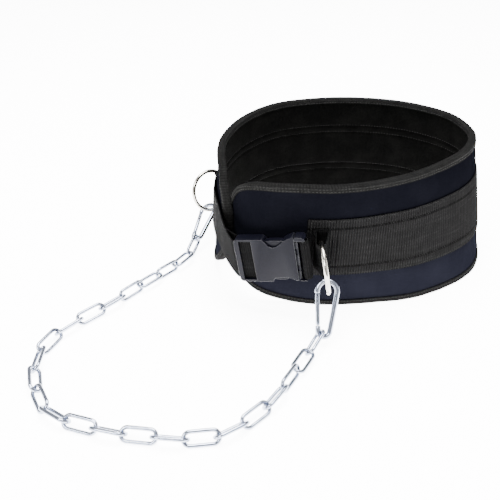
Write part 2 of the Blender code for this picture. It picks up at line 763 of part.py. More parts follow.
# Snap hook in its own plane: x across, y from the chain's end to the ring's end

def hook_geometry():
    """Centres and radii of the two bends, and the straight limbs' tangent points."""
    top_radius = HOOK_WIDTH / 2 - HOOK_WIRE
    foot_radius = HOOK_FOOT_WIDTH / 2 - HOOK_WIRE
    top = Vector((0, HOOK_LENGTH - HOOK_WIRE - top_radius, 0))
    foot = Vector((0, HOOK_WIRE + foot_radius, 0))
    taper = math.asin((top_radius - foot_radius) / (top.y - foot.y))
    return top, foot, top_radius, foot_radius, taper


def hook_limb():
    """Start of the gate's limb at the foot bend, its direction, and the hinge's place."""
    top, foot, top_radius, foot_radius, taper = hook_geometry()
    side = Vector((-math.cos(taper), -math.sin(taper), 0))
    start = foot + side * foot_radius
    end = top + side * top_radius
    direction = (end - start).normalized()
    hinge = start + direction * GATE_START
    return start, end, direction, hinge


def hook_path():
    top, foot, top_radius, foot_radius, taper = hook_geometry()
    start, end, direction, hinge = hook_limb()
    nose = hinge + direction * (GATE_LENGTH + GAP)
    path = []
    if (end - nose).dot(direction) > 0.0005:
        path.append(nose)
    turn = math.pi - 2 * taper
    first = math.pi + taper
    for i in range(11):
        angle = first - (math.pi + 2 * taper) * i / 10
        path.append(top + Vector((math.cos(angle), math.sin(angle), 0)) * top_radius)
    for i in range(9):
        angle = -taper - turn * i / 8
        path.append(foot + Vector((math.cos(angle), math.sin(angle), 0)) * foot_radius)
    path.append(hinge - direction * (GATE_WIRE + GAP))
    return path


def make_hook(collection, name, frame, material):
    hook = mesh_object(collection, name, wire_mesh(hook_path(), HOOK_WIRE, 8), material)
    hook.matrix_world = frame
    return hook


def make_gate(collection, name, frame, material):
    """Straight gate: its lower end is a ball round the hinge, its upper end meets the nose."""
    start, end, direction, hinge = hook_limb()
    profile = [(0.0, -GATE_WIRE)]
    for i in range(1, 4):
        angle = math.radians(-90 + 30 * i)
        profile.append((GATE_WIRE * math.cos(angle), GATE_WIRE * math.sin(angle)))
    profile += [(GATE_WIRE, GATE_LENGTH - 0.0006), (GATE_WIRE - 0.0006, GATE_LENGTH)]
    sides = 8
    across = direction.cross(Vector((0, 0, 1)))
    rings = []
    for radius, height in profile[1:]:
        rings.append([direction * height
                      + (across * math.cos(math.tau * k / sides)
                         + Vector((0, 0, 1)) * math.sin(math.tau * k / sides)) * radius
                      for k in range(sides)])
    bm = loft(rings)
    gate = mesh_object(collection, name, bm, material)
    gate.matrix_world = frame @ Matrix.Translation(hinge)
    return gate


def seat_along(fixed, moving, direction, clearance):
    """How far the moving points slide along the direction before they meet the fixed ones."""
    low = 0.0
    high = 0.012
    for _ in range(24):
        middle = (low + high) / 2
        nearest = min((a - (b + direction * middle)).length for a in fixed for b in moving)
        if nearest > clearance:
            low = middle
        else:
            high = middle
    return low


def dense(path, step=0.0006):
    points = []
    for a, b in zip(path, path[1:]):
        parts = max(1, int((b - a).length / step))
        points += [a.lerp(b, i / parts) for i in range(parts)]
    points.append(path[-1])
    return points


def hook_frame(ring_frame, hold_angle, direction, turn):
    """Hangs a hook by its wide end on a ring, pulled along the direction."""
    hold = ring_frame @ (Vector((math.cos(hold_angle), math.sin(hold_angle), 0)) * RING_RADIUS)
    upward = -direction.normalized()
    tangent = ring_frame.to_3x3() @ Vector((-math.sin(hold_angle), math.cos(hold_angle), 0))
    level = (tangent - upward * tangent.dot(upward)).normalized()
    across = (Matrix.Rotation(turn, 3, upward) @ level).normalized()
    top, foot, top_radius, foot_radius, taper = hook_geometry()
    lift = top.y + top_radius - RING_WIRE - HOOK_WIRE - GAP
    start = hold - upward * (lift - 0.006)
    frame = axes_matrix(start, across, upward)
    ring = [ring_frame @ (Vector((math.cos(a), math.sin(a), 0)) * RING_RADIUS)
            for a in (hold_angle + math.radians(i * 1.5 - 45) for i in range(61))]
    bow = [frame @ point for point in dense(hook_path()[:12])]
    slide = seat_along(ring, bow, -upward, RING_WIRE + HOOK_WIRE + GAP)
    return Matrix.Translation(-upward * slide) @ frame


# Chain

def link_mesh(pitch):
    """One closed link. Its middle line reaches a wire's thickness and the play past the
    pitch, half of it at each end, so that the next link's wire fits inside its bend."""
    bend = LINK_WIDTH / 2 - LINK_WIRE
    straight = (pitch + 2 * LINK_WIRE + LINK_SLACK) / 2 - bend
    rings = []
    for side in (1, -1):
        for i in range(LINK_END_SEGMENTS + 1):
            angle = math.radians(-90 + 180 * i / LINK_END_SEGMENTS)
            outward = Vector((math.cos(angle), math.sin(angle), 0)) * side
            middle = Vector((straight * side, 0, 0)) + outward * bend
            rings.append([middle + (outward * math.cos(math.tau * k / LINK_SIDES)
                                    + Vector((0, 0, 1)) * math.sin(math.tau * k / LINK_SIDES))
                          * LINK_WIRE for k in range(LINK_SIDES)])
    return loft(rings, closed=True)


def square_roll(along, wire, near):
    """Roll that turns a link square to a wire, the one of the two nearest to an angle."""
    side = along.cross(Vector((0, 0, 1))).normalized()
    upright = side.cross(along).normalized()
    roll = math.atan2(-wire.dot(upright), wire.dot(side))
    return near + (roll - near + math.pi / 2) % math.pi - math.pi / 2


def link_rolls(first, last):
    """Turn of each link about the chain's line, from upright: square to the hooks at both
    ends, and leaning over to the left and to the right by turns on the surface."""
    keys = [(0, first)] + [(i, math.radians(a)) for i, a in CHAIN_ROLLS]
    keys.append((LINK_COUNT - 1, last - math.pi / 2))
    rolls = []
    for i in range(LINK_COUNT):
        for (low, before), (high, after) in zip(keys, keys[1:]):
            if low <= i <= high:
                roll = before + (after - before) * (i - low) / (high - low)
        rolls.append(roll + (math.pi / 2 if i % 2 else 0.0))
    return rolls


def lying_height(roll):
    """Height of a link's middle above the surface that it lies on."""
    return (LINK_WIDTH / 2 - LINK_WIRE) * abs(math.cos(roll)) + LINK_WIRE


def walk_route(start, end, rolls):
    """Joints of the chain: equal steps along a smooth curve through the route's points."""
    heights = [lying_height(roll) for roll in rolls]
    heights = [max(pair) for pair in zip([0.0] + heights, heights + [0.0])]
    count = len(CHAIN_ROUTE) + 1
    points = [start]
    for i, (x, y) in enumerate(CHAIN_ROUTE):
        joint = round((i + 1) / count * LINK_COUNT)
        points.append(Vector((x, y, heights[joint])))
    points.append(end)
    curve = catmull_rom(points, 24)
    low = 0.020
    high = 0.045
    for _ in range(40):
        pitch = (low + high) / 2
        joints = step_along(curve, pitch)
        if len(joints) > LINK_COUNT:
            low = pitch
        else:
            high = pitch
    joints = step_along(curve, high)[:LINK_COUNT] + [end]
    for i in range(1, LINK_COUNT):
        joints[i].z = max(joints[i].z, heights[i])
    return joints


def step_along(curve, pitch):
    joints = [curve[0]]
    for a, b in zip(curve, curve[1:]):
        while (b - joints[-1]).length >= pitch and len(joints) < 200:
            low = 0.0
            high = 1.0
            for _ in range(30):
                middle = (low + high) / 2
                if (a.lerp(b, middle) - joints[-1]).length < pitch:
                    low = middle
                else:
                    high = middle
            joints.append(a.lerp(b, high))
    return joints


def hook_hold(frame, target):
    """Where an end link pulled towards the target hangs in a hook's foot bend: its joint,
    its direction away from the hook, and the direction of the hook's wire there."""
    top, foot, top_radius, foot_radius, taper = hook_geometry()
    point = frame @ (foot - Vector((0, foot_radius, 0)))
    away = (Vector((*target, point.z * 0.75)) - point).normalized()
    pull = frame.to_3x3().inverted() @ away
    radial = Vector((pull.x, pull.y, 0)).normalized()
    point = frame @ (foot + radial * foot_radius)
    wire = frame.to_3x3() @ Vector((-radial.y, radial.x, 0))
    return point - away * (HOOK_WIRE + GAP - LINK_SLACK / 2), away, wire


def make_chain(collection, left_hook, right_hook, material):
    start, away, wire = hook_hold(left_hook, CHAIN_ROUTE[0])
    first_roll = square_roll(away, wire, math.radians(FIRST_ROLL))
    end, away, wire = hook_hold(right_hook, CHAIN_ROUTE[-1])
    last_roll = square_roll(-away, wire, math.radians(LAST_ROLL))
    rolls = link_rolls(first_roll, last_roll)
    joints = walk_route(start, end, rolls)
    pitch = sum((b - a).length for a, b in zip(joints, joints[1:])) / LINK_COUNT
    shared = bpy.data.meshes.new("chain_link")
    bm = link_mesh(pitch)
    face_outwards(bm)
    bm.to_mesh(shared)
    bm.free()
    shared.materials.append(material)
    for i, roll in enumerate(rolls):
        along = (joints[i + 1] - joints[i]).normalized()
        side = along.cross(Vector((0, 0, 1))).normalized()
        upright = side.cross(along).normalized()
        across = upright * math.cos(roll) + side * math.sin(roll)
        link = bpy.data.objects.new("link_%02d" % (i + 1), shared)
        link.matrix_world = axes_matrix((joints[i] + joints[i + 1]) / 2, along, across)
        collection.objects.link(link)


# Whole belt

def stand_on_centre(collection, name):
    """Parents every piece to an empty, so that the origin is under the middle of the box."""
    bpy.context.view_layer.update()
    low = Vector((1e9, 1e9, 1e9))
    high = -low
    graph = bpy.context.evaluated_depsgraph_get()
    for obj in collection.objects:
        shape = obj.evaluated_get(graph)
        for point in shape.data.vertices:
            place = shape.matrix_world @ point.co
            low = Vector(map(min, low, place))
            high = Vector(map(max, high, place))
    root = bpy.data.objects.new(name, None)
    bpy.context.scene.collection.objects.link(root)
    root.location = (-(low.x + high.x) / 2, -(low.y + high.y) / 2, -low.z)
    bpy.context.view_layer.update()
    for obj in list(bpy.data.objects):
        if obj is not root and obj.parent is None:
            obj.parent = root
    return root


def main():
    clear_scene()
    parts = new_collection("dip_belt")
    cutters = new_collection("cutters")
    neoprene = make_material("neoprene", (0.012, 0.014, 0.024), 0.75)
    tape = make_material("binding_tape", (0.035, 0.034, 0.033), 0.8)
    webbing = make_material("webbing", (0.040, 0.039, 0.037), 0.75)
    plastic = make_material("buckle_plastic", (0.030, 0.030, 0.036), 0.42)
    nickel = make_material("polished_nickel", (0.78, 0.76, 0.72), 0.12, 1.0)
    zinc = make_material("bright_zinc", (0.80, 0.82, 0.86), 0.22, 1.0)

    plan = Plan()
    make_panel(parts, plan, neoprene)
    make_binding(parts, plan, tape)
    make_waist_webbing(parts, plan, webbing)

    buckle = buckle_frame()
    make_socket(parts, cutters, buckle, plastic)
    make_plug(parts, cutters, buckle, plastic)
    make_left_strap(parts, plan, buckle, webbing)
    make_right_strap(parts, plan, buckle, webbing)

    right_ring = right_ring_frame()
    left_ring = left_ring_frame()
    make_ring(parts, "ring_right", right_ring, nickel)
    make_ring(parts, "ring_left", left_ring, nickel)
    make_loop(parts, "ring_loop_right", plan, right_ring, webbing)
    make_loop(parts, "ring_loop_left", plan, left_ring, webbing)

    left_hook = hook_frame(left_ring, LEFT_HOOK_HOLD, LEFT_HOOK_DIRECTION, LEFT_HOOK_TURN)
    right_hook = hook_frame(right_ring, RIGHT_HOOK_HOLD, RIGHT_HOOK_DIRECTION, RIGHT_HOOK_TURN)
    for side, frame in (("left", left_hook), ("right", right_hook)):
        make_hook(parts, "carabiner_" + side, frame, zinc)
        make_gate(parts, "gate_" + side, frame, zinc)

    make_chain(parts, left_hook, right_hook, zinc)

    stand_on_centre(parts, "dip_belt_root")


main()
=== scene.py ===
import json
import math

import bpy
import numpy as np
from mathutils import Matrix, Vector


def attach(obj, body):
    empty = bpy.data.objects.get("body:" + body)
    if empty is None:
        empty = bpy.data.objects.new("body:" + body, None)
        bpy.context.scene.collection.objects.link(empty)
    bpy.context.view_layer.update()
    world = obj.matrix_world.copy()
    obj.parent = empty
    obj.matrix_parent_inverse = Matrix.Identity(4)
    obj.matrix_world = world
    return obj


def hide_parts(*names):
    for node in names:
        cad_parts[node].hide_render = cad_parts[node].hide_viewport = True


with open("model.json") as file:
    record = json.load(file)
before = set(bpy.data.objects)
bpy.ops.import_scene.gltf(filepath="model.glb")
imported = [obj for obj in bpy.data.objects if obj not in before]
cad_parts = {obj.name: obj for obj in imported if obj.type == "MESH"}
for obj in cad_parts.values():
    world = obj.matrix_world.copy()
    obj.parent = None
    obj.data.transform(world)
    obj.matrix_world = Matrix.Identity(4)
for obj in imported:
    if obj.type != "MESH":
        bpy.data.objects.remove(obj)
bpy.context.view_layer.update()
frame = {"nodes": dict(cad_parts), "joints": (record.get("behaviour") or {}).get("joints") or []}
nodes = frame["nodes"]
joints = {joint["child"]: joint for joint in frame["joints"]}
print("frame loaded:", len(nodes), "nodes")


# Small helpers for working as by hand

def deselectAll():
    if bpy.context.mode != "OBJECT":
        bpy.ops.object.mode_set(mode="OBJECT")
    bpy.ops.object.select_all(action="DESELECT")


def pick(piece):
    deselectAll()
    piece.select_set(True)
    bpy.context.view_layer.objects.active = piece


def editAll(piece):
    pick(piece)
    bpy.ops.object.mode_set(mode="EDIT")
    bpy.ops.mesh.select_all(action="SELECT")


def leaveEdit():
    bpy.ops.object.mode_set(mode="OBJECT")


def selectWhere(piece, test, kind="VERT"):
    # selects corners or edges by their place, and stays in edit mode
    pick(piece)
    bpy.ops.object.mode_set(mode="EDIT")
    bpy.ops.mesh.select_mode(type=kind)
    bpy.ops.mesh.select_all(action="DESELECT")
    bpy.ops.object.mode_set(mode="OBJECT")
    corners = piece.data.vertices
    if kind == "VERT":
        for corner in corners:
            corner.select = test(corner.co)
    else:
        for edge in piece.data.edges:
            edge.select = test(*(corners[i].co for i in edge.vertices))
    bpy.ops.object.mode_set(mode="EDIT")


def applyAll(piece):
    pick(piece)
    for step in list(piece.modifiers):
        bpy.ops.object.modifier_apply(modifier=step.name)


def rounded(piece, width, segments=2, angle=40, slot=-1):
    step = piece.modifiers.new("rounded", "BEVEL")
    step.width = width
    step.material = slot
    step.segments = segments
    step.limit_method = "ANGLE"
    step.angle_limit = math.radians(angle)
    applyAll(piece)


def cutWith(piece, cutter, operation="DIFFERENCE"):
    step = piece.modifiers.new("cut", "BOOLEAN")
    step.operation = operation
    step.solver = "EXACT"
    step.object = cutter
    applyAll(piece)
    bpy.data.objects.remove(cutter)


def smoothBy(piece, angle):
    pick(piece)
    bpy.ops.object.shade_smooth_by_angle(angle=math.radians(angle))


def added(name, primitive, **settings):
    # a new primitive, with its place and size applied to its mesh
    deselectAll()
    primitive(**settings)
    piece = bpy.context.object
    piece.name = name
    piece.data.name = name
    bpy.ops.object.transform_apply(location=True, rotation=True, scale=True)
    return piece


def extrudeBy(move):
    bpy.ops.mesh.extrude_region_move(TRANSFORM_OT_translate={"value": move})


def turnOutwards():
    bpy.ops.mesh.select_all(action="SELECT")
    bpy.ops.mesh.normals_make_consistent(inside=False)
    leaveEdit()


def cornersOf(piece):
    return np.array([corner.co for corner in piece.data.vertices])


def dress(piece, body, slot, material, *replaced):
    # gives a finished piece its material, its body and the nodes that it stands for
    if material is not None:
        piece.data.materials.clear()
        piece.data.materials.append(material)
    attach(piece, body)
    if replaced:
        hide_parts(*replaced)
    return piece


def block(low, high):
    middle = [(a + b) / 2 for a, b in zip(low, high)]
    size = [b - a for a, b in zip(low, high)]
    return added("block", bpy.ops.mesh.primitive_cube_add, size=1, location=middle, scale=size)


def prism(outline, front, back):
    # a filled ring of corners, each moved to its place in x and z, then extruded to the back
    piece = added("prism", bpy.ops.mesh.primitive_circle_add, vertices=len(outline), fill_type="NGON")
    for corner, (x, z) in zip(piece.data.vertices, outline):
        corner.co = (x, front, z)
    editAll(piece)
    extrudeBy((0, back - front, 0))
    turnOutwards()
    return piece


def place(piece, matrix):
    piece.data.transform(matrix)
    piece.data.update()
    return piece


def shapedGrid(name, along, across, placeOf, uvOf, closedAlong=False):
    # a flat grid whose corners are moved to their places; its two long sides meet
    piece = added(name, bpy.ops.mesh.primitive_grid_add, x_subdivisions=along, y_subdivisions=across,
                  size=1)
    mesh = piece.data
    flat = cornersOf(piece)
    i = np.rint((flat[:, 0] + 0.5) * along).astype(int)
    j = np.rint((flat[:, 1] + 0.5) * across).astype(int)
    spots = np.array([[placeOf(a, b) for b in range(across + 1)] for a in range(along + 1)])
    spots[:, across] = spots[:, 0]
    if closedAlong:
        spots[along] = spots[0]
    mesh.vertices.foreach_set("co", spots[i, j].reshape(-1))
    corners = np.zeros(len(mesh.loops), int)
    mesh.loops.foreach_get("vertex_index", corners)
    uv = np.array([[uvOf(a, b) for b in range(across + 1)] for a in range(along + 1)])
    layer = mesh.uv_layers.active or mesh.uv_layers.new(name="weave")
    layer.name = "weave"
    layer.data.foreach_set("uv", uv[i[corners], j[corners]].reshape(-1))
    mesh.update()
    editAll(piece)
    bpy.ops.mesh.remove_doubles(threshold=0.000002)
    bpy.ops.mesh.fill_holes(sides=0)
    turnOutwards()
    return piece


# Materials

def addNode(tree, kind, sockets=None, **settings):
    node = tree.nodes.new(kind)
    for key, value in settings.items():
        setattr(node, key, value)
    for key, value in (sockets or {}).items():
        if isinstance(value, bpy.types.NodeSocket):
            tree.links.new(value, node.inputs[key])
        else:
            node.inputs[key].default_value = value
    return node


def startMaterial(name, look):
    material = bpy.data.materials.new(name)
    material.use_nodes = True
    tree = material.node_tree
    shader = tree.nodes["Principled BSDF"]
    shader.inputs["Metallic"].default_value = look.get("metallic", 0)
    shader.inputs["Sheen Weight"].default_value = look.get("sheen", 0)
    shader.inputs["Sheen Roughness"].default_value = 0.5
    shader.inputs["Specular IOR Level"].default_value = look.get("specular", 0.5)
    material.diffuse_color = (*look["colour"], 1)
    return material, tree, shader


def mathNode(tree, operation, *values):
    return addNode(tree, "ShaderNodeMath", dict(enumerate(values)), operation=operation).outputs[0]


def mixColours(tree, share, low, high):
    sockets = {0: share}
    for key, value in ((6, low), (7, high)):
        sockets[key] = value if isinstance(value, bpy.types.NodeSocket) else (*value, 1)
    return addNode(tree, "ShaderNodeMix", sockets, data_type="RGBA").outputs[2]


def spread(tree, value, low, high, start=0.0, end=1.0):
    # carries what lies between start and end over to between low and high
    sockets = {"Value": value, "From Min": start, "From Max": end, "To Min": low, "To Max": high}
    return addNode(tree, "ShaderNodeMapRange", sockets).outputs[0]


def waveOf(tree, vector, direction, pitch, distortion):
    sockets = {"Vector": vector, "Scale": math.pi / 10 / pitch, "Distortion": distortion,
               "Detail": 1.0, "Detail Scale": 0.6}
    return addNode(tree, "ShaderNodeTexWave", sockets, wave_type="BANDS", bands_direction=direction,
                   wave_profile="SIN").outputs["Fac"]


def noiseOf(tree, vector, size, detail, rough):
    sockets = {"Vector": vector, "Scale": 1 / size, "Detail": detail, "Roughness": rough}
    return addNode(tree, "ShaderNodeTexNoise", sockets).outputs["Fac"]


def weaveMap(tree):
    # the piece's own UV map in metres, and the distance across it
    uv = addNode(tree, "ShaderNodeUVMap", uv_map="weave").outputs[0]
    return uv, addNode(tree, "ShaderNodeSeparateXYZ", {"Vector": uv}).outputs[1]


def finishSurface(material, tree, shader, look, colour, rougher, height):
    # joins a colour, a roughness that varies and a bump to the shader
    tree.links.new(colour, shader.inputs["Base Color"])
    less, more = look["vary"]
    rough = spread(tree, rougher, look["rough"] - less, look["rough"] + more)
    tree.links.new(rough, shader.inputs["Roughness"])
    sockets = {"Height": height, "Strength": look["bump"], "Distance": look["bumpDepth"]}
    bump = addNode(tree, "ShaderNodeBump", sockets)
    tree.links.new(bump.outputs[0], shader.inputs["Normal"])
    return material


def wovenMaterial(name, look):
    # ribs run across the piece and threads along it
    material, tree, shader = startMaterial(name, look)
    uv, across = weaveMap(tree)
    ribs = waveOf(tree, uv, "X", look["ribPitch"], look["ribWander"])
    threads = waveOf(tree, uv, "Y", look["threadPitch"], look["threadWander"])
    lightRibs = mathNode(tree, "MULTIPLY", ribs, look["ribShare"])
    lightThreads = mathNode(tree, "MULTIPLY", threads, 1 - look["ribShare"])
    weave = mathNode(tree, "ADD", lightRibs, lightThreads)
    patches = noiseOf(tree, uv, look["patchSize"], detail=4.0, rough=0.6)
    fuzz = noiseOf(tree, uv, look["fuzzSize"], detail=2.0, rough=0.7)
    drawn = addNode(tree, "ShaderNodeMapping", {"Vector": uv, "Scale": look["streakDrawn"]}).outputs[0]
    streaks = noiseOf(tree, drawn, look["streakSize"], detail=3.0, rough=0.6)
    specks = spread(tree, fuzz, 0.0, look["fuzz"], *look["fuzzRange"])
    # painted highlight: lighter streaks on the rib crests
    wearAndHighlight = mathNode(tree, "MULTIPLY", spread(tree, streaks, 0.0, look["streaks"], *look["streakRange"]), ribs)
    # painted shade: the colour falls to the near black groove colour in the hollows between ribs and threads
    cloth = mixColours(tree, weave, look["paintedGrooveShade"], look["colour"])
    for share in (spread(tree, patches, 0.0, look["fade"]), specks, wearAndHighlight):
        cloth = mixColours(tree, share, cloth, look["faded"])
    # painted shade along the sewn rows, in the groove colour
    for seam in look["seams"]:
        near = mathNode(tree, "COMPARE", across, seam, look["seamWidth"])
        shade = mathNode(tree, "MULTIPLY", near, look["seamShade"])
        cloth = mixColours(tree, shade, cloth, look["paintedGrooveShade"])
    height = mathNode(tree, "MULTIPLY_ADD", fuzz, look["fuzzRise"], weave)
    return finishSurface(material, tree, shader, look, cloth, patches, height)


def knitMaterial(name, look):
    # a smooth or brushed cloth face over foam, with painted shade: its colour is darker higher up
    material, tree, shader = startMaterial(name, look)
    uv, up = weaveMap(tree)
    grain = noiseOf(tree, uv, look["grain"], detail=3.0, rough=0.65)
    drawn = addNode(tree, "ShaderNodeMapping", {"Vector": uv, "Scale": look["brushDrawn"]}).outputs[0]
    brushed = noiseOf(tree, drawn, look["brushed"], detail=4.0, rough=0.6)
    patches = noiseOf(tree, uv, look["patchSize"], detail=3.0, rough=0.5)
    cloth = mixColours(tree, spread(tree, brushed, 0.0, 1.0), look["shade"], look["colour"])
    wearAndHighlight = spread(tree, patches, 0.0, look["wear"], *look["wearRange"])
    cloth = mixColours(tree, wearAndHighlight, cloth, look["wearAndHighlight"])
    # painted shade: the colour is scaled from itself down to look["upper"] times itself, higher up the piece
    rise = spread(tree, up, 1.0, look["upper"], *look["paintedShadeHeights"])
    shaded = addNode(tree, "ShaderNodeVectorMath", {0: cloth, "Scale": rise}, operation="SCALE").outputs[0]
    height = mathNode(tree, "MULTIPLY_ADD", brushed, look["brushedShare"], grain)
    return finishSurface(material, tree, shader, look, shaded, patches, height)


def hardMaterial(name, look):
    # moulded plastic or plated steel: clouds of tint, and fine marks in its surface; on the plated metal the
    # strong dark clouds are painted reflections
    material, tree, shader = startMaterial(name, look)
    spot = addNode(tree, "ShaderNodeTexCoord").outputs["Object"]
    marks = noiseOf(tree, spot, look["grain"], look["grainDetail"], look["grainRough"])
    clouds = noiseOf(tree, spot, look["patchSize"], 3.0, look["cloudRough"])
    tint = mixColours(tree, clouds, look["shade"], look["colour"])
    rougher = marks if look.get("metallic") else clouds
    return finishSurface(material, tree, shader, look, tint, rougher, marks)


neopreneLook = {
    "colour": (0.0054, 0.0056, 0.0086), "shade": (0.0036, 0.0038, 0.0060),
    "wearAndHighlight": (0.0078, 0.0081, 0.0118), "wear": 0.5, "wearRange": (0.45, 0.75),
    # painted shade: the share of the colour left higher up, and the heights it falls over
    "upper": 0.42, "paintedShadeHeights": (0.03, 0.12), "grain": 0.0008, "brushed": 0.004, "brushedShare": 0.4,
    "brushDrawn": (1.0, 0.25, 1.0), "patchSize": 0.05, "rough": 0.70, "vary": (0.07, 0.07),
    "specular": 0.0, "bump": 0.30, "bumpDepth": 0.0002,
}
fleeceLook = dict(
    neopreneLook, colour=(0.0015, 0.0015, 0.0014), shade=(0.0003, 0.0003, 0.0003),
    wearAndHighlight=(0.0025, 0.0025, 0.0023), upper=1.0, wear=0.6, grain=0.0014, brushed=0.0035,
    brushedShare=0.8, patchSize=0.03, rough=0.95, specular=0.01, bump=0.9, bumpDepth=0.0007)
webLook = {
    # painted shade: the groove colour darkens the hollows of the weave and the sewn rows
    "colour": (0.0044, 0.0043, 0.0045), "paintedGrooveShade": (0.0001, 0.0001, 0.0001),
    "faded": (0.019, 0.0187, 0.0187), "fade": 0.30, "ribPitch": 0.0031, "ribWander": 0.5,
    "ribShare": 0.78, "threadPitch": 0.0022, "threadWander": 0.5,
    "fuzz": 0.8, "fuzzSize": 0.0016, "fuzzRange": (0.58, 0.8), "fuzzRise": 0.35,
    "streaks": 0.6, "streakSize": 0.0030, "streakRange": (0.5, 0.8), "streakDrawn": (0.06, 1.0, 1.0),
    "seams": (-0.0255, 0.0255), "seamWidth": 0.0014, "seamShade": 0.75, "patchSize": 0.012,
    "rough": 0.85, "vary": (0.08, 0.08), "specular": 0.01, "bump": 0.8, "bumpDepth": 0.0004,
}
strapLook = dict(webLook, colour=(0.0024, 0.0024, 0.0026), faded=(0.011, 0.0109, 0.0109), seams=(),
                 ribPitch=0.0024, threadPitch=0.0020, ribShare=0.6)
tapeLook = dict(webLook, colour=(0.0028, 0.0028, 0.0028), faded=(0.020, 0.0198, 0.0194), seams=(),
                ribPitch=0.0034, threadPitch=0.0016, ribShare=0.6, bumpDepth=0.00025)
plasticLook = {
    "colour": (0.0022, 0.0022, 0.0042), "shade": (0.0017, 0.0017, 0.0033), "grain": 0.0005,
    "grainDetail": 2.0, "grainRough": 0.5, "patchSize": 0.012, "cloudRough": 0.5, "rough": 0.34,
    "vary": (0.06, 0.06), "specular": 0.05, "bump": 0.12, "bumpDepth": 0.0001,
}
# painted highlight: a lighter colour for the rounded edges, which are also shinier
rimHighlightLook = dict(plasticLook, colour=(0.012, 0.012, 0.014), shade=(0.009, 0.009, 0.011), rough=0.22,
               specular=0.22)
threadLook = dict(plasticLook, colour=(0.019, 0.0188, 0.0184), shade=(0.010, 0.0099, 0.0097),
                  rough=0.7, specular=0.03, grain=0.0003, bump=0.5, patchSize=0.003)
# painted reflection: the plating's dark shade colour, laid on in clouds
nickelLook = {
    "colour": (0.62, 0.59, 0.53), "shade": (0.20, 0.185, 0.16), "grain": 0.0015, "grainDetail": 5.0,
    "grainRough": 0.7, "patchSize": 0.006, "cloudRough": 0.6, "rough": 0.13, "vary": (0.07, 0.10),
    "metallic": 1, "bump": 0.06, "bumpDepth": 0.0001,
}
zincLook = dict(nickelLook, colour=(0.42, 0.45, 0.53), shade=(0.10, 0.12, 0.17), grain=0.0012,
                patchSize=0.005, rough=0.18, bump=0.10)

neoprene = knitMaterial("neopreneFace", neopreneLook)
fleece = knitMaterial("brushedLining", fleeceLook)
webCloth = wovenMaterial("ribbedWebbing", webLook)
strapCloth = wovenMaterial("strapWebbing", strapLook)
tapeCloth = wovenMaterial("bindingTape", tapeLook)
buckleNylon = hardMaterial("satinNylon", plasticLook)
rimHighlightNylon = hardMaterial("edgeHighlightNylon", rimHighlightLook)
nickel = hardMaterial("polishedNickel", nickelLook)
zinc = hardMaterial("brightZinc", zincLook)
thread = hardMaterial("sewingThread", threadLook)
print("materials made")


# The belt's form: distance along it from its right tip, height, and out from its face

belt = {
    "middle": (0.081293, 0.103793),     # of the waist, in the frame
    "halfWidth": 0.162, "halfDepth": 0.142, "height": 0.160, "wall": 0.006, "flare": 0.030,
    "length": 0.94916, "tipReach": 0.020, "tipBend": 10.0, "rightReach": 0.012, "rightBend": 20.0,
    "tipLow": 0.070, "tipHigh": 0.100, "skinGap": 0.0005,
    "rightRuns": (0.147, 0.062), "leftRuns": (0.110, 0.060),    # lower and upper corners
    "cornerReach": 0.13,                # from each tip, where columns lie closer
}
planShares = [
    (-0.880, -0.730, 0.05), (-0.805, -0.868, 0.00), (-0.685, -0.955, 0.00),
    (-0.451, -0.990, 0.00), (-0.167, -1.000, 0.00), (0.130, -0.915, 0.28),
    (0.457, -0.725, 0.85), (0.809, -0.380, 1.25), (0.985, -0.028, 1.10),
    (1.000, 0.303, 0.85), (0.900, 0.600, 0.50), (0.611, 0.870, 0.30),
    (0.241, 0.990, 0.15), (-0.142, 0.980, 0.10), (-0.531, 0.830, 0.15),
    (-0.809, 0.490, 0.25), (-0.963, 0.070, 0.30), (-1.000, -0.296, 0.30),
    (-0.969, -0.620, 0.25),
]


def smoothLine(points, steps):
    line = []
    ends = [points[0] * 2 - points[1]] + list(points) + [points[-1] * 2 - points[-2]]
    for a, b, c, d in zip(ends, ends[1:], ends[2:], ends[3:]):
        for i in range(steps):
            t = i / steps
            line.append(0.5 * (b * 2 + (c - a) * t + (a * 2 - b * 5 + c * 4 - d) * t * t
                               + (b * 3 - a - c * 3 + d) * t * t * t))
    line.append(points[-1].copy())
    return line


planLine = smoothLine([Vector((x * belt["halfWidth"], y * belt["halfDepth"], flare * belt["flare"]))
                       for x, y, flare in planShares], 24)
planSpots = np.array(planLine)
planSteps = np.linalg.norm(np.diff(planSpots[:, :2], axis=0), axis=1)
planAt = np.concatenate([[0], np.cumsum(planSteps)])
planAt *= belt["length"] / planAt[-1]
planHeading = np.gradient(planSpots[:, :2], axis=0)
planHeading /= np.linalg.norm(planHeading, axis=1)[:, None]


def onBelt(s, z, out):
    x = np.interp(s, planAt, planSpots[:, 0])
    y = np.interp(s, planAt, planSpots[:, 1])
    flare = np.interp(s, planAt, planSpots[:, 2])
    dx = np.interp(s, planAt, planHeading[:, 0])
    dy = np.interp(s, planAt, planHeading[:, 1])
    size = math.hypot(dx, dy)
    beyond = max(s - belt["length"], 0)
    before = max(-s, 0)
    reach = flare * (1 - z / belt["height"]) * max(0.0, 1 - beyond / belt["tipReach"]) + out
    # the left tip bends in behind the buckle, the right one along the wall outside it
    reach -= belt["tipBend"] * beyond ** 2 + belt["rightBend"] * before ** 2
    past = beyond - before
    x += dx / size * past
    y += dy / size * past
    return Vector((x + dy / size * reach, y - dx / size * reach, z))


def beltNormal(s):
    dx = np.interp(s, planAt, planHeading[:, 0])
    dy = np.interp(s, planAt, planHeading[:, 1])
    return Vector((dy, -dx, 0)).normalized()


def nearestOnBelt(target):
    spots = np.linspace(0, belt["length"], 2001)
    return float(min(spots, key=lambda s: (onBelt(s, target.z, 0) - target).length))


def cornerInset(distance, run, rise, inset):
    if distance >= run:
        return inset
    share = (run - distance) / (run - inset)
    return rise - (rise - inset) * math.sqrt(max(0.0, 1 - share * share))


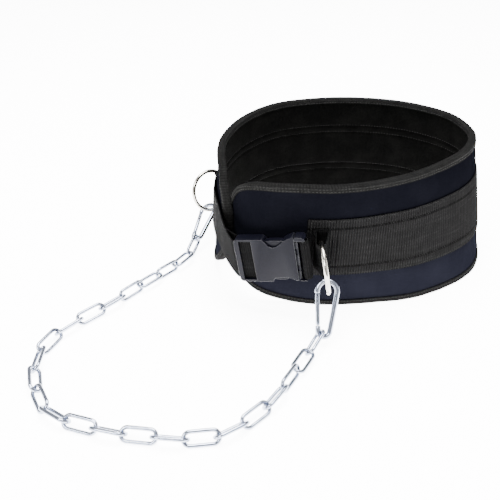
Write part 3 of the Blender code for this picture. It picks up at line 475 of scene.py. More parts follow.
def lowerEdge(s, inset):
    leftTip = belt["length"] + belt["tipReach"]
    return max(cornerInset(s + belt["rightReach"], belt["rightRuns"][0], belt["tipLow"], inset),
               cornerInset(leftTip - s, belt["leftRuns"][0], belt["tipLow"], inset))


def upperEdge(s, inset):
    rise = belt["height"] - belt["tipHigh"]
    leftTip = belt["length"] + belt["tipReach"]
    return belt["height"] - max(cornerInset(s + belt["rightReach"], belt["rightRuns"][1], rise, inset),
                                cornerInset(leftTip - s, belt["leftRuns"][1], rise, inset))


def toFrame(point):
    return (point[0] + belt["middle"][0], point[1] + belt["middle"][1], point[2])


def ease(value, low, high):
    t = min(1.0, max(0.0, (value - low) / (high - low)))
    return t * t * (3 - 2 * t)


# Padded panel: neoprene outside, brushed lining inside, pulled in along its seams

panel = {
    "columns": 300, "tipColumns": 70, "outerRows": 44, "innerRows": 84, "edgeRows": 2,
    "inset": 0.0019, "rim": 0.006, "outerCrown": 0.0008, "endCrown": 0.6, "innerCrown": 0.0013,
    "fullness": 0.7, "channel": 0.03, "seams": (0.0475, 0.0575, 0.1085, 0.1185), "seamRoom": 0.004,
    "seamDepth": 0.0013, "seamWidth": 0.0016, "outerEase": (0.004, 0.004), "innerEase": (0.002, 0.006),
    # per metre along and up in two sines, then their phases
    "outerWaves": (47, 31, 21, -57, 0.0, 1.3), "innerWaves": (61, 43, 33, -71, 0.7, 0.0),
    "wave": 0.00035, "innerWave": 0.35, "fill": 0.35,
}


def ripple(s, z, waves):
    a, b, c, d, first, second = waves
    return math.sin(s * a + z * b + first) * math.sin(s * c + z * d + second)


def crownOf(z, bottom, top):
    return math.sin(math.pi * min(1, max(0, (z - bottom) / max(0.01, top - bottom))))


def underWeb(s, before, after):
    # 1 where the webbing is sewn on, eased at both its ends
    start = waistWeb["fromRightTip"]
    end = belt["length"] - waistWeb["fromLeftTip"]
    return ease(s, start - before, start + after) * (1 - ease(s, end - after, end + before))


def panelOuter(s, z, low, high):
    # crowned above and below the webbing, held down by the binding and the webbing
    webLow = waistWeb["centre"] - waistWeb["width"] / 2
    webHigh = waistWeb["centre"] + waistWeb["width"] / 2
    inWeb = underWeb(s, *panel["outerEase"])
    bottom = low + panel["rim"]
    top = high - panel["rim"]
    free = 0.0
    if webHigh < z < top:
        free = math.sin(math.pi * min(1, (z - webHigh) / (top - webHigh)))
    elif bottom < z < webLow:
        free = math.sin(math.pi * min(1, (webLow - z) / (webLow - bottom)))
    crown = free * inWeb + panel["endCrown"] * crownOf(z, bottom, top) * (1 - inWeb)
    return panel["outerCrown"] * crown + panel["wave"] * ripple(s, z, panel["outerWaves"]) * crown


def panelInner(s, z, low, high):
    bottom = low + panel["rim"]
    top = high - panel["rim"]
    room = panel["seamRoom"]
    sewn = underWeb(s, *panel["innerEase"])
    marks = [bottom] + [z0 for z0 in panel["seams"] if bottom + room < z0 < top - room] + [top]
    crown = 0.0
    for a, b in zip(marks, marks[1:]):
        if a < z < b:
            crown = math.sin(math.pi * (z - a) / (b - a)) ** panel["fullness"]
            crown *= min(1, (b - a) / panel["channel"])
    whole = crownOf(z, bottom, top) ** panel["fullness"]
    dip = sum(math.exp(-((z - z0) / panel["seamWidth"]) ** 2) for z0 in marks[1:-1])
    wave = panel["innerWave"] * ripple(s, z, panel["innerWaves"])
    rise = panel["innerCrown"] * (crown * sewn + whole * (1 - sewn)) * (1 + wave)
    return rise - panel["seamDepth"] * dip * sewn


def makePanel():
    inset = panel["inset"]
    outerRows = panel["outerRows"]
    edgeRows = panel["edgeRows"]
    rows = outerRows + panel["innerRows"] + 2 * edgeRows
    reach = belt["cornerReach"]
    count = panel["tipColumns"]
    leftTip = belt["length"] + belt["tipReach"]
    rightTip = -belt["rightReach"]
    near = [inset + reach * (1 - math.cos(math.pi / 2 * i / count)) for i in range(count)]
    first = rightTip + inset + reach
    last = leftTip - inset - reach
    middle = panel["columns"] - 2 * count
    shares = [rightTip + s for s in near]
    shares += [first + (last - first) * i / middle for i in range(middle + 1)]
    shares += [leftTip - s for s in reversed(near)]

    def section(a, b):
        s = shares[a]
        low = lowerEdge(s, inset)
        high = upperEdge(s, inset)
        if b <= outerRows:
            z = low + (high - low) * b / outerRows
            return s, z, panelOuter(s, z, low, high)
        if b <= outerRows + edgeRows:
            return s, high, -belt["wall"] * (b - outerRows) / (edgeRows + 1)
        if b <= outerRows + edgeRows + panel["innerRows"]:
            z = high - (high - low) * (b - outerRows - edgeRows) / panel["innerRows"]
            return s, z, -belt["wall"] - panelInner(s, z, low, high)
        return s, low, -belt["wall"] * (rows - b) / (edgeRows + 1)

    def placeOf(a, b):
        return toFrame(onBelt(*section(a, b)))

    def uvOf(a, b):
        return section(a, b)[:2]

    piece = shapedGrid("padded_panel", panel["columns"], rows, placeOf, uvOf)
    piece.data.materials.clear()
    piece.data.materials.append(neoprene)
    piece.data.materials.append(fleece)
    inward = Vector(toFrame((0, 0, 0)))
    for face in piece.data.polygons:
        inside = (inward - face.center).to_2d().dot(face.normal.to_2d()) > 0
        face.material_index = 1 if inside else 0
    smoothBy(piece, 60)
    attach(piece, "belt")
    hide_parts("belt_panel")
    return piece


# Waist webbing: real ribs across it, its two edges rounded, sewn down along four rows

waistWeb = {
    "width": 0.075, "thickness": 0.0020, "centre": 0.083, "fromRightTip": 0.098, "fromLeftTip": 0.060,
    "ribPitch": 0.0031, "ribDepth": 0.00060, "columnsPerRib": 6, "faceRows": 22,
    "seamDepth": 0.0005, "seamWidth": 0.0011,
    "tacks": (0.0230, 0.0285, 0.0340), "tackMiddle": 0.081, "tackHalf": 0.020, "tackDepth": 0.0012,
    "edgeWave": 0.00025, "edgeWaves": 90, "edgeShare": 0.9,     # its edges wander up and down
    "wander": 0.00012, "wanders": 38, "lift": 0.0001,           # and its face in and out
}


def bandSection(faceRows, edgeRows=3, backRows=3):
    # closed outline of a strap: share across from -1 to 1, share through from 0 to 1, front mark
    outline = [(-1 + 2 * i / faceRows, 1.0, 1) for i in range(faceRows + 1)]
    outline += [(1.0, 1 - i / (edgeRows + 1), 0) for i in range(1, edgeRows + 1)]
    outline += [(1 - 2 * i / backRows, 0.0, 0) for i in range(backRows + 1)]
    outline += [(-1.0, i / (edgeRows + 1), 0) for i in range(1, edgeRows + 1)]
    return outline


def roundedShare(across, through, width, thickness):
    # draws the corners of a strap's section into half circles
    half = width / 2
    bend = thickness / 2
    x = across * half
    y = (through - 0.5) * thickness
    inner = half - bend
    if abs(x) > inner:
        over = (abs(x) - inner) / bend
        if through in (0.0, 1.0):
            angle = over * math.pi / 4
            x = math.copysign(inner + bend * math.sin(angle), x)
            y = math.copysign(bend * math.cos(angle), y)
        else:
            angle = (through - 0.5) * math.pi / 2
            x = math.copysign(inner + bend * math.cos(angle), x)
            y = bend * math.sin(angle)
    return x, y


def makeWaistWeb():
    start = waistWeb["fromRightTip"]
    end = belt["length"] - waistWeb["fromLeftTip"]
    ribs = round((end - start) / waistWeb["ribPitch"])
    columns = ribs * waistWeb["columnsPerRib"]
    outline = bandSection(waistWeb["faceRows"])
    rows = len(outline)
    half = waistWeb["thickness"] / 2

    def section(a, b):
        along = (end - start) * a / columns
        across, through, face = outline[b % rows]
        x, y = roundedShare(across, through, waistWeb["width"], waistWeb["thickness"])
        z = waistWeb["centre"] + x
        if face:
            phase = 2 * math.pi * a / waistWeb["columnsPerRib"]
            y += waistWeb["ribDepth"] * (0.5 - 0.5 * math.cos(phase)) - waistWeb["ribDepth"]
            for z0 in panel["seams"]:
                y -= waistWeb["seamDepth"] * math.exp(-((z - z0) / waistWeb["seamWidth"]) ** 2)
            if abs(z - waistWeb["tackMiddle"]) < waistWeb["tackHalf"]:
                for x0 in waistWeb["tacks"]:
                    y -= waistWeb["tackDepth"] * math.exp(-((along - x0) / waistWeb["seamWidth"]) ** 2)
            if abs(across) > waistWeb["edgeShare"]:
                z += waistWeb["edgeWave"] * math.sin(along * waistWeb["edgeWaves"])
        lift = waistWeb["wander"] * math.sin(along * waistWeb["wanders"]) + waistWeb["lift"]
        return start + along, z, belt["skinGap"] + half + y + lift

    def placeOf(a, b):
        return toFrame(onBelt(*section(a, b)))

    def uvOf(a, b):
        across = outline[b % rows][0]
        return (end - start) * a / columns, across * waistWeb["width"] / 2

    piece = shapedGrid("waist_web", columns, rows, placeOf, uvOf)
    smoothBy(piece, 50)
    return dress(piece, "belt", "webbing", webCloth, "waist_webbing")


# Binding: one tape folded over the whole edge, drawn in along its two rows of stitches

tape = {
    "depth": 0.007, "thickness": 0.0010, "edge": 0.0014, "step": 0.0034, "tipSpots": 200,
    "middleSpots": 800, "rows": (0.0024, 0.0054), "dip": 0.00045, "dipWidth": 0.0005,
    "puff": 0.00030, "puffReach": 0.004, "corner": 0.0003, "turn": 0.0012,
    "faceDepths": (0.0070, 0.0064, 0.0057, 0.0050, 0.0040, 0.0030, 0.0018, 0.0009),
    "wander": 0.00012, "wanders": 210,
}


def edgeLine(step):
    # the panel's edge as distance and height, at equal steps right round
    first = -belt["rightReach"]
    last = belt["length"] + belt["tipReach"]
    reach = belt["cornerReach"]
    count = tape["tipSpots"]
    near = [reach * (1 - math.cos(math.pi / 2 * i / count)) for i in range(count)]
    across = [first + s for s in near]
    across += list(np.linspace(first + reach, last - reach, tape["middleSpots"]))
    across += [last - s for s in reversed(near)]
    loop = [(s, lowerEdge(s, 0.0)) for s in across] + [(s, upperEdge(s, 0.0)) for s in reversed(across)]
    loop.append(loop[0])
    loop = np.array(loop)
    walked = np.concatenate([[0], np.cumsum(np.linalg.norm(np.diff(loop, axis=0), axis=1))])
    count = round(walked[-1] / step)
    spots = np.linspace(0, walked[-1], count + 1)
    line = np.stack([np.interp(spots, walked, loop[:, k]) for k in (0, 1)], axis=1)
    ahead = np.roll(line[:-1], -1, axis=0) - np.roll(line[:-1], 1, axis=0)
    ahead /= np.linalg.norm(ahead, axis=1)[:, None]
    inward = np.stack([-ahead[:, 1], ahead[:, 0]], axis=1)
    return line, np.vstack([inward, inward[:1]]), spots


def tapeOutline():
    # depth in from the edge, and out from the panel's face
    outer = belt["skinGap"] + tape["thickness"]
    inner = -belt["wall"] - belt["skinGap"] - tape["thickness"]
    corner, turn = tape["corner"], tape["turn"]
    face = []
    for d in tape["faceDepths"]:
        dip = sum(math.exp(-((d - r) / tape["dipWidth"]) ** 2) for r in tape["rows"])
        puff = math.sin(math.pi * min(1, d / tape["puffReach"])) * tape["puff"]
        face.append((d, puff - tape["dip"] * dip))
    outline = [(d, outer + lift) for d, lift in face]
    outline += [(corner, outer - corner), (0.0, outer - turn), (0.0, (outer + inner) / 2),
                (0.0, inner + turn), (corner, inner + corner)]
    outline += [(d, inner - lift) for d, lift in reversed(face)]
    hollow = inner + tape["thickness"], outer - tape["thickness"]
    outline += [(tape["depth"], hollow[0]), (tape["edge"], hollow[0]),
                (tape["edge"], hollow[1]), (tape["depth"], hollow[1])]
    return outline


def makeBinding():
    line, inward, spots = edgeLine(tape["step"])
    columns = len(spots) - 1
    outline = tapeOutline()
    rows = len(outline)
    walked = [0.0]
    for (d0, w0), (d1, w1) in zip(outline, outline[1:] + outline[:1]):
        walked.append(walked[-1] + math.hypot(d1 - d0, w1 - w0))

    def placeOf(a, b):
        depth, out = outline[b % rows]
        outside = out > -0.001
        wander = tape["wander"] * math.sin(spots[a] * tape["wanders"]) if outside else 0.0
        s, z = line[a] + inward[a] * depth
        return toFrame(onBelt(s, z, out + wander))

    def uvOf(a, b):
        return spots[a], walked[b]

    piece = shapedGrid("rim_tape", columns, rows, placeOf, uvOf, closedAlong=True)
    smoothBy(piece, 50)
    return dress(piece, "belt", "binding_tape", tapeCloth, "edge_binding")


# Stitches: one is modelled, and the rows are laid out with it

stitch = {"length": 0.0028, "width": 0.00080, "flat": 0.8, "pitch": 0.0040, "sides": 6, "body": 0.6}
seams = {
    "inset": 0.003, "turn": 0.001, "sunk": 0.0001, "proud": 0.0004, "liningSunk": 0.75,
    "columnSpots": 16, "rowStep": 0.006,
}


def makeStitch():
    # as long and as wide as 1, with pointed ends
    piece = added("stitch", bpy.ops.mesh.primitive_cylinder_add, vertices=stitch["sides"], radius=0.5,
                  depth=stitch["body"], end_fill_type="TRIFAN", rotation=(0, math.pi / 2, 0))
    for corner in piece.data.vertices:
        if math.hypot(corner.co.y, corner.co.z) < 0.01:
            corner.co.x /= stitch["body"]
    return piece


def stitchRows(name, rows):
    # each row is a list of (point, outward)
    one = makeStitch()
    corners = cornersOf(one)
    faces = [list(f.vertices) for f in one.data.polygons]
    bpy.data.objects.remove(one)
    spots = []
    polygons = []
    for row in rows:
        points = [Vector(p) for p, up in row]
        ups = [Vector(up) for p, up in row]
        walked = [0.0]
        for a, b in zip(points, points[1:]):
            walked.append(walked[-1] + (b - a).length)
        count = max(1, int(walked[-1] / stitch["pitch"]))
        for k in range(count):
            at = (k + 0.5) * walked[-1] / count
            i = max(0, min(len(points) - 2, int(np.searchsorted(walked, at)) - 1))
            t = (at - walked[i]) / max(1e-9, walked[i + 1] - walked[i])
            middle = points[i].lerp(points[i + 1], t)
            along = (points[i + 1] - points[i]).normalized()
            up = ups[i].lerp(ups[i + 1], t)
            up = (up - along * up.dot(along)).normalized()
            side = up.cross(along)
            width = stitch["width"]
            turn = np.array((along * stitch["length"], side * width, up * width * stitch["flat"]))
            base = len(spots)
            spots.extend((corners @ turn + np.array(middle)).tolist())
            polygons.extend([[base + v for v in f] for f in faces])
    mesh = bpy.data.meshes.new(name)
    mesh.from_pydata(spots, [], polygons)
    piece = bpy.data.objects.new(name, mesh)
    bpy.context.scene.collection.objects.link(piece)
    smoothBy(piece, 60)
    return dress(piece, "belt", "webbing", thread)


def beltRow(start, end, z, out, side=1):
    count = max(2, int(abs(end - start) / seams["rowStep"]))
    spots = [start + (end - start) * i / count for i in range(count + 1)]
    return [(toFrame(onBelt(s, z, out)), beltNormal(s) * side) for s in spots]


def beltColumn(s, low, high, out, count):
    return [(toFrame(onBelt(s, z, out)), beltNormal(s)) for z in np.linspace(low, high, count)]


def makeSeams():
    heights = panel["seams"]
    start = waistWeb["fromRightTip"] + seams["inset"]
    end = belt["length"] - waistWeb["fromLeftTip"] - seams["inset"]
    outer = belt["skinGap"] + waistWeb["thickness"] - waistWeb["seamDepth"] - seams["sunk"]
    inner = -belt["wall"] + panel["seamDepth"] * seams["liningSunk"]
    rows = [beltRow(start, end, z, outer) for z in heights]
    for s in (start + seams["turn"], end - seams["turn"]):
        rows.append(beltColumn(s, heights[0], heights[-1], outer + seams["proud"], seams["columnSpots"]))
    stitchRows("web_stitches", rows)
    stitchRows("lining_stitches", [beltRow(start, end, z, inner, side=-1) for z in heights])
    line, inward, spots = edgeLine(seams["rowStep"])

    def edgeRow(depth, out, side):
        return [(toFrame(onBelt(*(spot + into * depth), out)), beltNormal(spot[0]) * side)
                for spot, into in zip(line, inward)]

    front = belt["skinGap"] + tape["thickness"]
    rear = -belt["wall"] - belt["skinGap"] - tape["thickness"]
    rows = [edgeRow(depth, front, 1) for depth in tape["rows"]]
    rows.append(edgeRow(tape["rows"][1], rear, -1))
    stitchRows("tape_stitches", rows)


makePanel()
print("padded panel made")
makeWaistWeb()
makeBinding()
print("webbing and binding made")
makeSeams()
print("seams sewn")


# Buckle straps

buckle = {
    "centre": (-0.104, -0.1545, 0.0765), "yaw": -15, "roll": -9.5, "height": 0.0555, "depth": 0.013,
    "wall": 0.0024, "socketLeft": -0.0350, "socketRight": 0.0345, "slotLeft": -0.0297,
    "slotRight": -0.0150, "outerBar": 0.0034, "barDepth": 0.0033, "bar": 0.0042, "gap": 0.0003,
    "plugRight": 0.0465, "plugBar": 0.0040, "plugSlot": 0.0050, "plugBarDepth": 0.0044,
    "entry": 0.0030, "turnRoom": 0.0062, "slotSide": 0.0005, "rim": 0.0030, "mouthRise": 0.0028,
    "shoulderBack": 0.0035, "past": 0.01, "through": 0.02, "overlap": 0.001,
    "cornerRound": 0.0045, "edge": 0.0009,
    "plugEdge": 0.0007, "hollowFrom": -0.0026, "guideFrom": 0.0050, "guideHalf": 0.006,
    "armFrom": 0.0060, "arm": (0.0125, 0.005), "armEnd": 0.002,     # inside the edge, past the shoulder
}
buckleTurn = (Matrix.Translation(buckle["centre"]) @ Matrix.Rotation(math.radians(buckle["yaw"]), 4, "Z")
              @ Matrix.Rotation(math.radians(buckle["roll"]), 4, "Y"))
buckleFrame = Matrix.Translation(toFrame((0, 0, 0))) @ buckleTurn
buckleUp = buckleTurn.to_3x3() @ Vector((0, 0, 1))

strap = {
    "width": 0.050, "thickness": 0.0018, "centre": 0.078, "leftCentre": 0.088, "sewn": 0.110,
    "pastTip": 0.006, "bulge": (-0.003, 0, 0), "bulgeShare": 0.55, "lead": 0.010,
    "tailMiddle": (-0.1475, -0.1225, 0.0710), "tailEnd": (-0.1530, -0.1000, 0.0660),
    "leavesWall": 84, "wrap": 0.0046, "bend": 0.0050, "layersClose": 0.0035, "toLoop": 0.0020,
    "rise": 0.0020, "sewnSpots": 40, "steps": 8, "turnSpots": 11, "turnClear": 0.0006,
    "seamInset": 0.0035, "seamSpots": 12,
    "firstSeam": (0.004, 0.040),    # from where it is first sewn
    "lastSeam": (0.042, 0.006),     # from the panel's end
}


def resample(path, ups, step):
    path = [Vector(p) for p in path]
    walked = [0.0]
    for a, b in zip(path, path[1:]):
        walked.append(walked[-1] + (b - a).length)
    count = max(2, round(walked[-1] / step))
    spots = np.linspace(0, walked[-1], count + 1)
    points = np.stack([np.interp(spots, walked, [p[k] for p in path]) for k in range(3)], axis=1)
    turned = np.stack([np.interp(spots, walked, [u[k] for u in ups]) for k in range(3)], axis=1)
    turned /= np.linalg.norm(turned, axis=1)[:, None]
    return points, turned, spots


def soften(points, rounds, closed=False):
    for _ in range(rounds):
        if closed:
            points = (np.roll(points, 1, axis=0) + points * 2 + np.roll(points, -1, axis=0)) / 4
        else:
            inner = (points[:-2] + points[1:-1] * 2 + points[2:]) / 4
            points = np.vstack([points[:1], inner, points[-1:]])
    return points


def bandPiece(name, node, path, ups, width, thickness, step=0.0016, rounds=2, closed=False,
              faceRows=14, shape=None, follow=None):
    points, turned, spots = resample(path, ups, step)
    points = soften(points, rounds, closed)
    columns = len(spots) - 1
    heading = np.gradient(points, axis=0)
    if closed:
        heading[0] = heading[-1] = points[1] - points[-2]
    heading /= np.linalg.norm(heading, axis=1)[:, None]
    outline = bandSection(faceRows, backRows=faceRows)
    rows = len(outline)

    def placeOf(a, b):
        across, through, face = outline[b % rows]
        wide = shape(spots[a] / spots[-1]) if shape else 1.0
        x, y = roundedShare(across, through, width * wide, thickness)
        up = Vector(turned[a])
        side = Vector(heading[a]).cross(up).normalized()
        point = Vector(points[a]) + up * x + side * y
        if follow:
            point += follow(spots[a] / spots[-1], x, across)
        return toFrame(point)

    def uvOf(a, b):
        return spots[a], outline[b % rows][0] * width / 2

    piece = shapedGrid(name, columns, rows, placeOf, uvOf, closedAlong=closed)
    smoothBy(piece, 50)
    return dress(piece, "belt", "webbing", strapCloth, node)


def makeLeftStrap():
    skin = belt["skinGap"]
    out = skin + waistWeb["thickness"] + skin + strap["thickness"] / 2
    length = belt["length"]
    tip = length + strap["pastTip"]
    centre = strap["leftCentre"]
    sewnAt = np.linspace(length - strap["sewn"], tip, strap["sewnSpots"])
    sewn = [onBelt(s, centre, out) for s in sewnAt]
    leave = sewn[-1]
    lead = onBelt(tip - strap["lead"], centre, out)
    sewnUps = [(onBelt(s, belt["height"], out) - onBelt(s, centre, out)).normalized() for s in sewnAt]
    tipUp = sewnUps[-1]
    runDepth = -buckle["depth"] / 2 + buckle["outerBar"] + buckle["gap"] + strap["thickness"] / 2
    returnDepth = buckle["depth"] / 2 - buckle["gap"]
    entry = buckleTurn @ Vector((buckle["socketLeft"] - buckle["wall"], runDepth, 0))
    inside = buckleTurn @ Vector((buckle["slotLeft"], runDepth, 0))
    bulge = leave.lerp(entry, strap["bulgeShare"]) + Vector(strap["bulge"])
    steps = strap["steps"]
    free = smoothLine([lead, leave, bulge, entry, inside], steps)[steps + 1:3 * steps + 1]
    middle = Vector((buckle["slotRight"] + strap["turnClear"], (runDepth + returnDepth) / 2, 0))
    radius = (returnDepth - runDepth) / 2
    turn = [buckleTurn @ (middle + Vector((math.sin(t), -math.cos(t), 0)) * radius)
            for t in np.linspace(0, math.pi, strap["turnSpots"])]
    back = buckleTurn @ Vector((buckle["slotLeft"], returnDepth, 0))
    tail = [turn[-1], back, Vector(strap["tailMiddle"]), Vector(strap["tailEnd"])]
    tail = smoothLine(tail, steps)[steps:]
    path = sewn + free + turn + tail
    ups = sewnUps + [tipUp.lerp(buckleUp, (i + 1) / len(free)) for i in range(len(free))]
    ups += [buckleUp] * (len(turn) + len(tail))
    return bandPiece("left_buckle_strap", "strap_left", path, ups, strap["width"], strap["thickness"])


def layerOf(path, ups, offset):
    moved = []
    for i, (here, up) in enumerate(zip(path, ups)):
        along = path[min(i + 1, len(path) - 1)] - path[max(i - 1, 0)]
        moved.append(here + along.cross(up).normalized() * offset)
    return moved


def makeStrapSeams():
    # a sewn box on each end of the left strap's flat part
    outer = 2 * belt["skinGap"] + waistWeb["thickness"] + strap["thickness"]
    half = strap["width"] / 2 - strap["seamInset"]
    low, high = strap["leftCentre"] - half, strap["leftCentre"] + half
    rows = []
    start = belt["length"] - strap["sewn"]
    end = belt["length"]
    for first, last in ([start + s for s in strap["firstSeam"]], [end - s for s in strap["lastSeam"]]):
        rows += [beltRow(first, last, z, outer) for z in (low, high)]
        rows += [beltColumn(s, low, high, outer, strap["seamSpots"]) for s in (first, last)]
    stitchRows("strap_stitches", rows)


def makeRightStrap():
    skin = belt["skinGap"]
    end = nearestOnBelt(Vector(rings["right"]["centre"])) - loop["base"] - loop["thickness"]
    end -= strap["toLoop"]
    apart = (strap["thickness"] + skin) / 2
    out = skin + waistWeb["thickness"] + skin + strap["thickness"] / 2 + apart
    seam = onBelt(end, strap["centre"] + strap["rise"], out)
    bar = buckleTurn @ Vector((buckle["plugRight"] - buckle["plugBar"] / 2, 0, 0))
    heading = math.radians(strap["leavesWall"])
    leaving = Vector((math.cos(heading), math.sin(heading), 0))
    wall = beltNormal(end)
    bend = bar - leaving * ((bar - seam).dot(wall) / leaving.dot(wall))
    bend.z = seam.z
    before = bend + (seam - bend).normalized() * strap["bend"]
    after = bend + (bar - bend).normalized() * strap["bend"]
    spine = [seam]
    for i in range(9):
        spine.append(before.lerp(bend, i / 8).lerp(bend.lerp(after, i / 8), i / 8))
    spine.append(bar + leaving * (strap["wrap"] + strap["layersClose"]))
    ups = [Vector((0, 0, 1)).lerp(buckleUp, i / (len(spine) - 1)) for i in range(len(spine))]
    near = layerOf(spine, ups, apart)
    far = layerOf(spine, ups, -apart)
    side = leaving.cross(buckleUp).normalized()
    if (near[-1] - bar).dot(side) < 0:
        side = -side
    turn = [bar + (side * math.cos(t) - leaving * math.sin(t)) * strap["wrap"]
            for t in np.linspace(0, math.pi, 9)]
    path = near + turn + list(reversed(far))
    allUps = ups + [buckleUp] * len(turn) + list(reversed(ups))
    return bandPiece("right_buckle_strap", "strap_right", path, allUps, strap["width"],
                     strap["thickness"], step=0.0012)


# Rings, and the webbing gathered round them

rings = {
    "radius": 0.0275, "wire": 0.0025,
    "right": {"centre": (-0.043, -0.1835, 0.084), "yaw": 90, "lean": 10},
    "left": {"centre": (-0.1795, 0.038, 0.061), "yaw": 38, "lean": 15},
}
loop = {
    "height": 0.022, "base": 0.0075, "thickness": 0.0016, "bore": 0.0049, "faceRows": 30,
    "footHeight": 0.052, "bowHeight": 0.042, "footSteps": 6, "bowSteps": 16, "bowFrom": -15,
    "bowTurn": 210, "grows": 0.16, "shrinks": 0.86, "pleats": 0.0005, "pleatWaves": 17, "reach": 0.02,
}


def ringAxes(side):
    turn = math.radians(rings[side]["yaw"])
    lean = math.radians(rings[side]["lean"])
    inward = Vector((math.cos(turn), math.sin(turn), 0))
    back = Vector((-inward.y, inward.x, 0))
    upward = back * math.sin(lean) + Vector((0, 0, math.cos(lean)))
    return inward, upward


def axesMatrix(centre, x, y):
    return Matrix.Translation(centre) @ Matrix((x, y, x.cross(y))).transposed().to_4x4()


def makeRing(side):
    inward, upward = ringAxes(side)
    piece = added("ring_" + side + "_polished", bpy.ops.mesh.primitive_torus_add,
                  major_radius=rings["radius"], minor_radius=rings["wire"],
                  major_segments=96, minor_segments=20)
    place(piece, axesMatrix(Vector(toFrame(rings[side]["centre"])), inward, upward))
    bpy.ops.object.shade_smooth()
    return dress(piece, "belt", "polished_nickel", nickel, "ring_" + side)


def makeLoop(side):
    inward, ringUp = ringAxes(side)
    centre = Vector(rings[side]["centre"])
    held = centre + inward * rings["radius"]
    skin = belt["skinGap"] + waistWeb["thickness"]
    s = nearestOnBelt(held)
    foot = onBelt(s, held.z, skin)
    wallUp = (onBelt(s, held.z + 0.01, skin) - foot).normalized()
    level = beltNormal(s)
    along = Vector((-level.y, level.x, 0))
    outward = along.cross(wallUp).normalized()
    half = loop["thickness"] / 2
    lift = half + belt["skinGap"]
    steps = loop["footSteps"]
    path = [foot + along * loop["base"] * (2 * i / steps - 1) + outward * lift for i in range(steps + 1)]
    ups = [wallUp] * (steps + 1)
    rise = rings["radius"] - math.sqrt(rings["radius"] ** 2 - (loop["height"] / 2) ** 2)
    bow = held - inward * rise / 2
    away = (outward - ringUp * outward.dot(ringUp)).normalized()
    across = away.cross(ringUp).normalized()
    if across.dot(along) < 0:
        across = -across
    for i in range(loop["bowSteps"] + 1):
        angle = math.radians(loop["bowFrom"] + loop["bowTurn"] * i / loop["bowSteps"])
        path.append(bow + (across * math.cos(angle) + away * math.sin(angle)) * (loop["bore"] + half))
        ups.append(ringUp)
    path.append(path[0])
    ups.append(ups[0])
    length = sum((b - a).length for a, b in zip(path, path[1:]))
    footShare = 2 * loop["base"] / length

    def bowShare(share):
        # none along the foot, whole round the ring
        grown = ease(share, footShare, footShare + loop["grows"])
        return grown * (1 - ease(share, loop["shrinks"], 1.0))

    def shape(share):
        return 1 + (loop["bowHeight"] / loop["footHeight"] - 1) * bowShare(share)

    def follow(share, x, across):
        # the gathered bow runs along the ring's own arc
        radius = rings["radius"]
        curve = radius - math.sqrt(radius * radius - min(abs(x), loop["reach"]) ** 2)
        pleat = loop["pleats"] * math.sin(across * loop["pleatWaves"]) * math.sin(math.pi * share)
        return -inward * (curve * bowShare(share)) + away * pleat

    return bandPiece("ring_band_" + side, "ring_loop_" + side, path, ups, loop["footHeight"],
                     loop["thickness"], step=0.0010, rounds=3, closed=True,
                     faceRows=loop["faceRows"], shape=shape, follow=follow)


makeLeftStrap()
makeStrapSeams()
makeRightStrap()
for side in ("left", "right"):
    makeRing(side)
    makeLoop(side)
print("straps, rings and their bands made")


# Snap hooks: a bent wire body and a sprung gate on a rivet

hook = {
    "length": 0.068, "width": 0.028, "footWidth": 0.019, "wire": 0.003, "gateWire": 0.0025,
    "gateStart": 0.0085, "gateLength": 0.0335, "gap": 0.0003, "sides": 16, "edge": 0.0006,
    "gateEdge": 0.0007, "hingeRound": 0.0022, "slot": (0.0016, 0.0120, 0.0032), "slotBack": 0.0015,
    "rivet": 0.0011, "rivetProud": 0.0004, "rivetEdge": 0.0003, "hingeShare": 0.9,
    "topSteps": 20, "footSteps": 16, "limbShares": (0.2, 0.6, 0.2), "weld": 0.00001,
}


def hookForm():
    topRadius = hook["width"] / 2 - hook["wire"]
    footRadius = hook["footWidth"] / 2 - hook["wire"]
    top = Vector((0, hook["length"] - hook["wire"] - topRadius, 0))
    foot = Vector((0, hook["wire"] + footRadius, 0))
    taper = math.asin((topRadius - footRadius) / (top.y - foot.y))
    side = Vector((-math.cos(taper), -math.sin(taper), 0))
    start = foot + side * footRadius
    end = top + side * topRadius
    direction = (end - start).normalized()
    return top, foot, taper, end, direction, start + direction * hook["gateStart"]


def hookAxes(side):
    # the hook's own axes, read from where its node and its gate's joint stand
    joint = joints["gate_" + side]
    corners = cornersOf(nodes["carabiner_" + side])
    middle = corners.mean(axis=0)
    longest = np.linalg.svd(corners - middle, full_matrices=False)[2][0]
    upward = Vector(longest)
    anchor = Vector(joint["pos_m"])
    if (Vector(middle) - anchor).dot(upward) < 0:
        upward = -upward
    normal = Vector(joint["axis"]).normalized()
    upward = (upward - normal * upward.dot(normal)).normalized()
    across = upward.cross(normal).normalized()
    if (anchor - Vector(middle)).dot(across) > 0:
        across = -across
    return corners, across, upward


def hookMatrix(side):
    # its origin is at the foot's lowest point, midway across and through the node's corners
    corners, across, upward = hookAxes(side)
    normal = across.cross(upward)
    low = np.min(corners @ np.array(upward))
    sides = corners @ np.array(across)
    deep = corners @ np.array(normal)
    centre = across * float(sides.min() + sides.max()) / 2 + upward * float(low)
    centre += normal * float(deep.min() + deep.max()) / 2
    return axesMatrix(centre, across, upward)


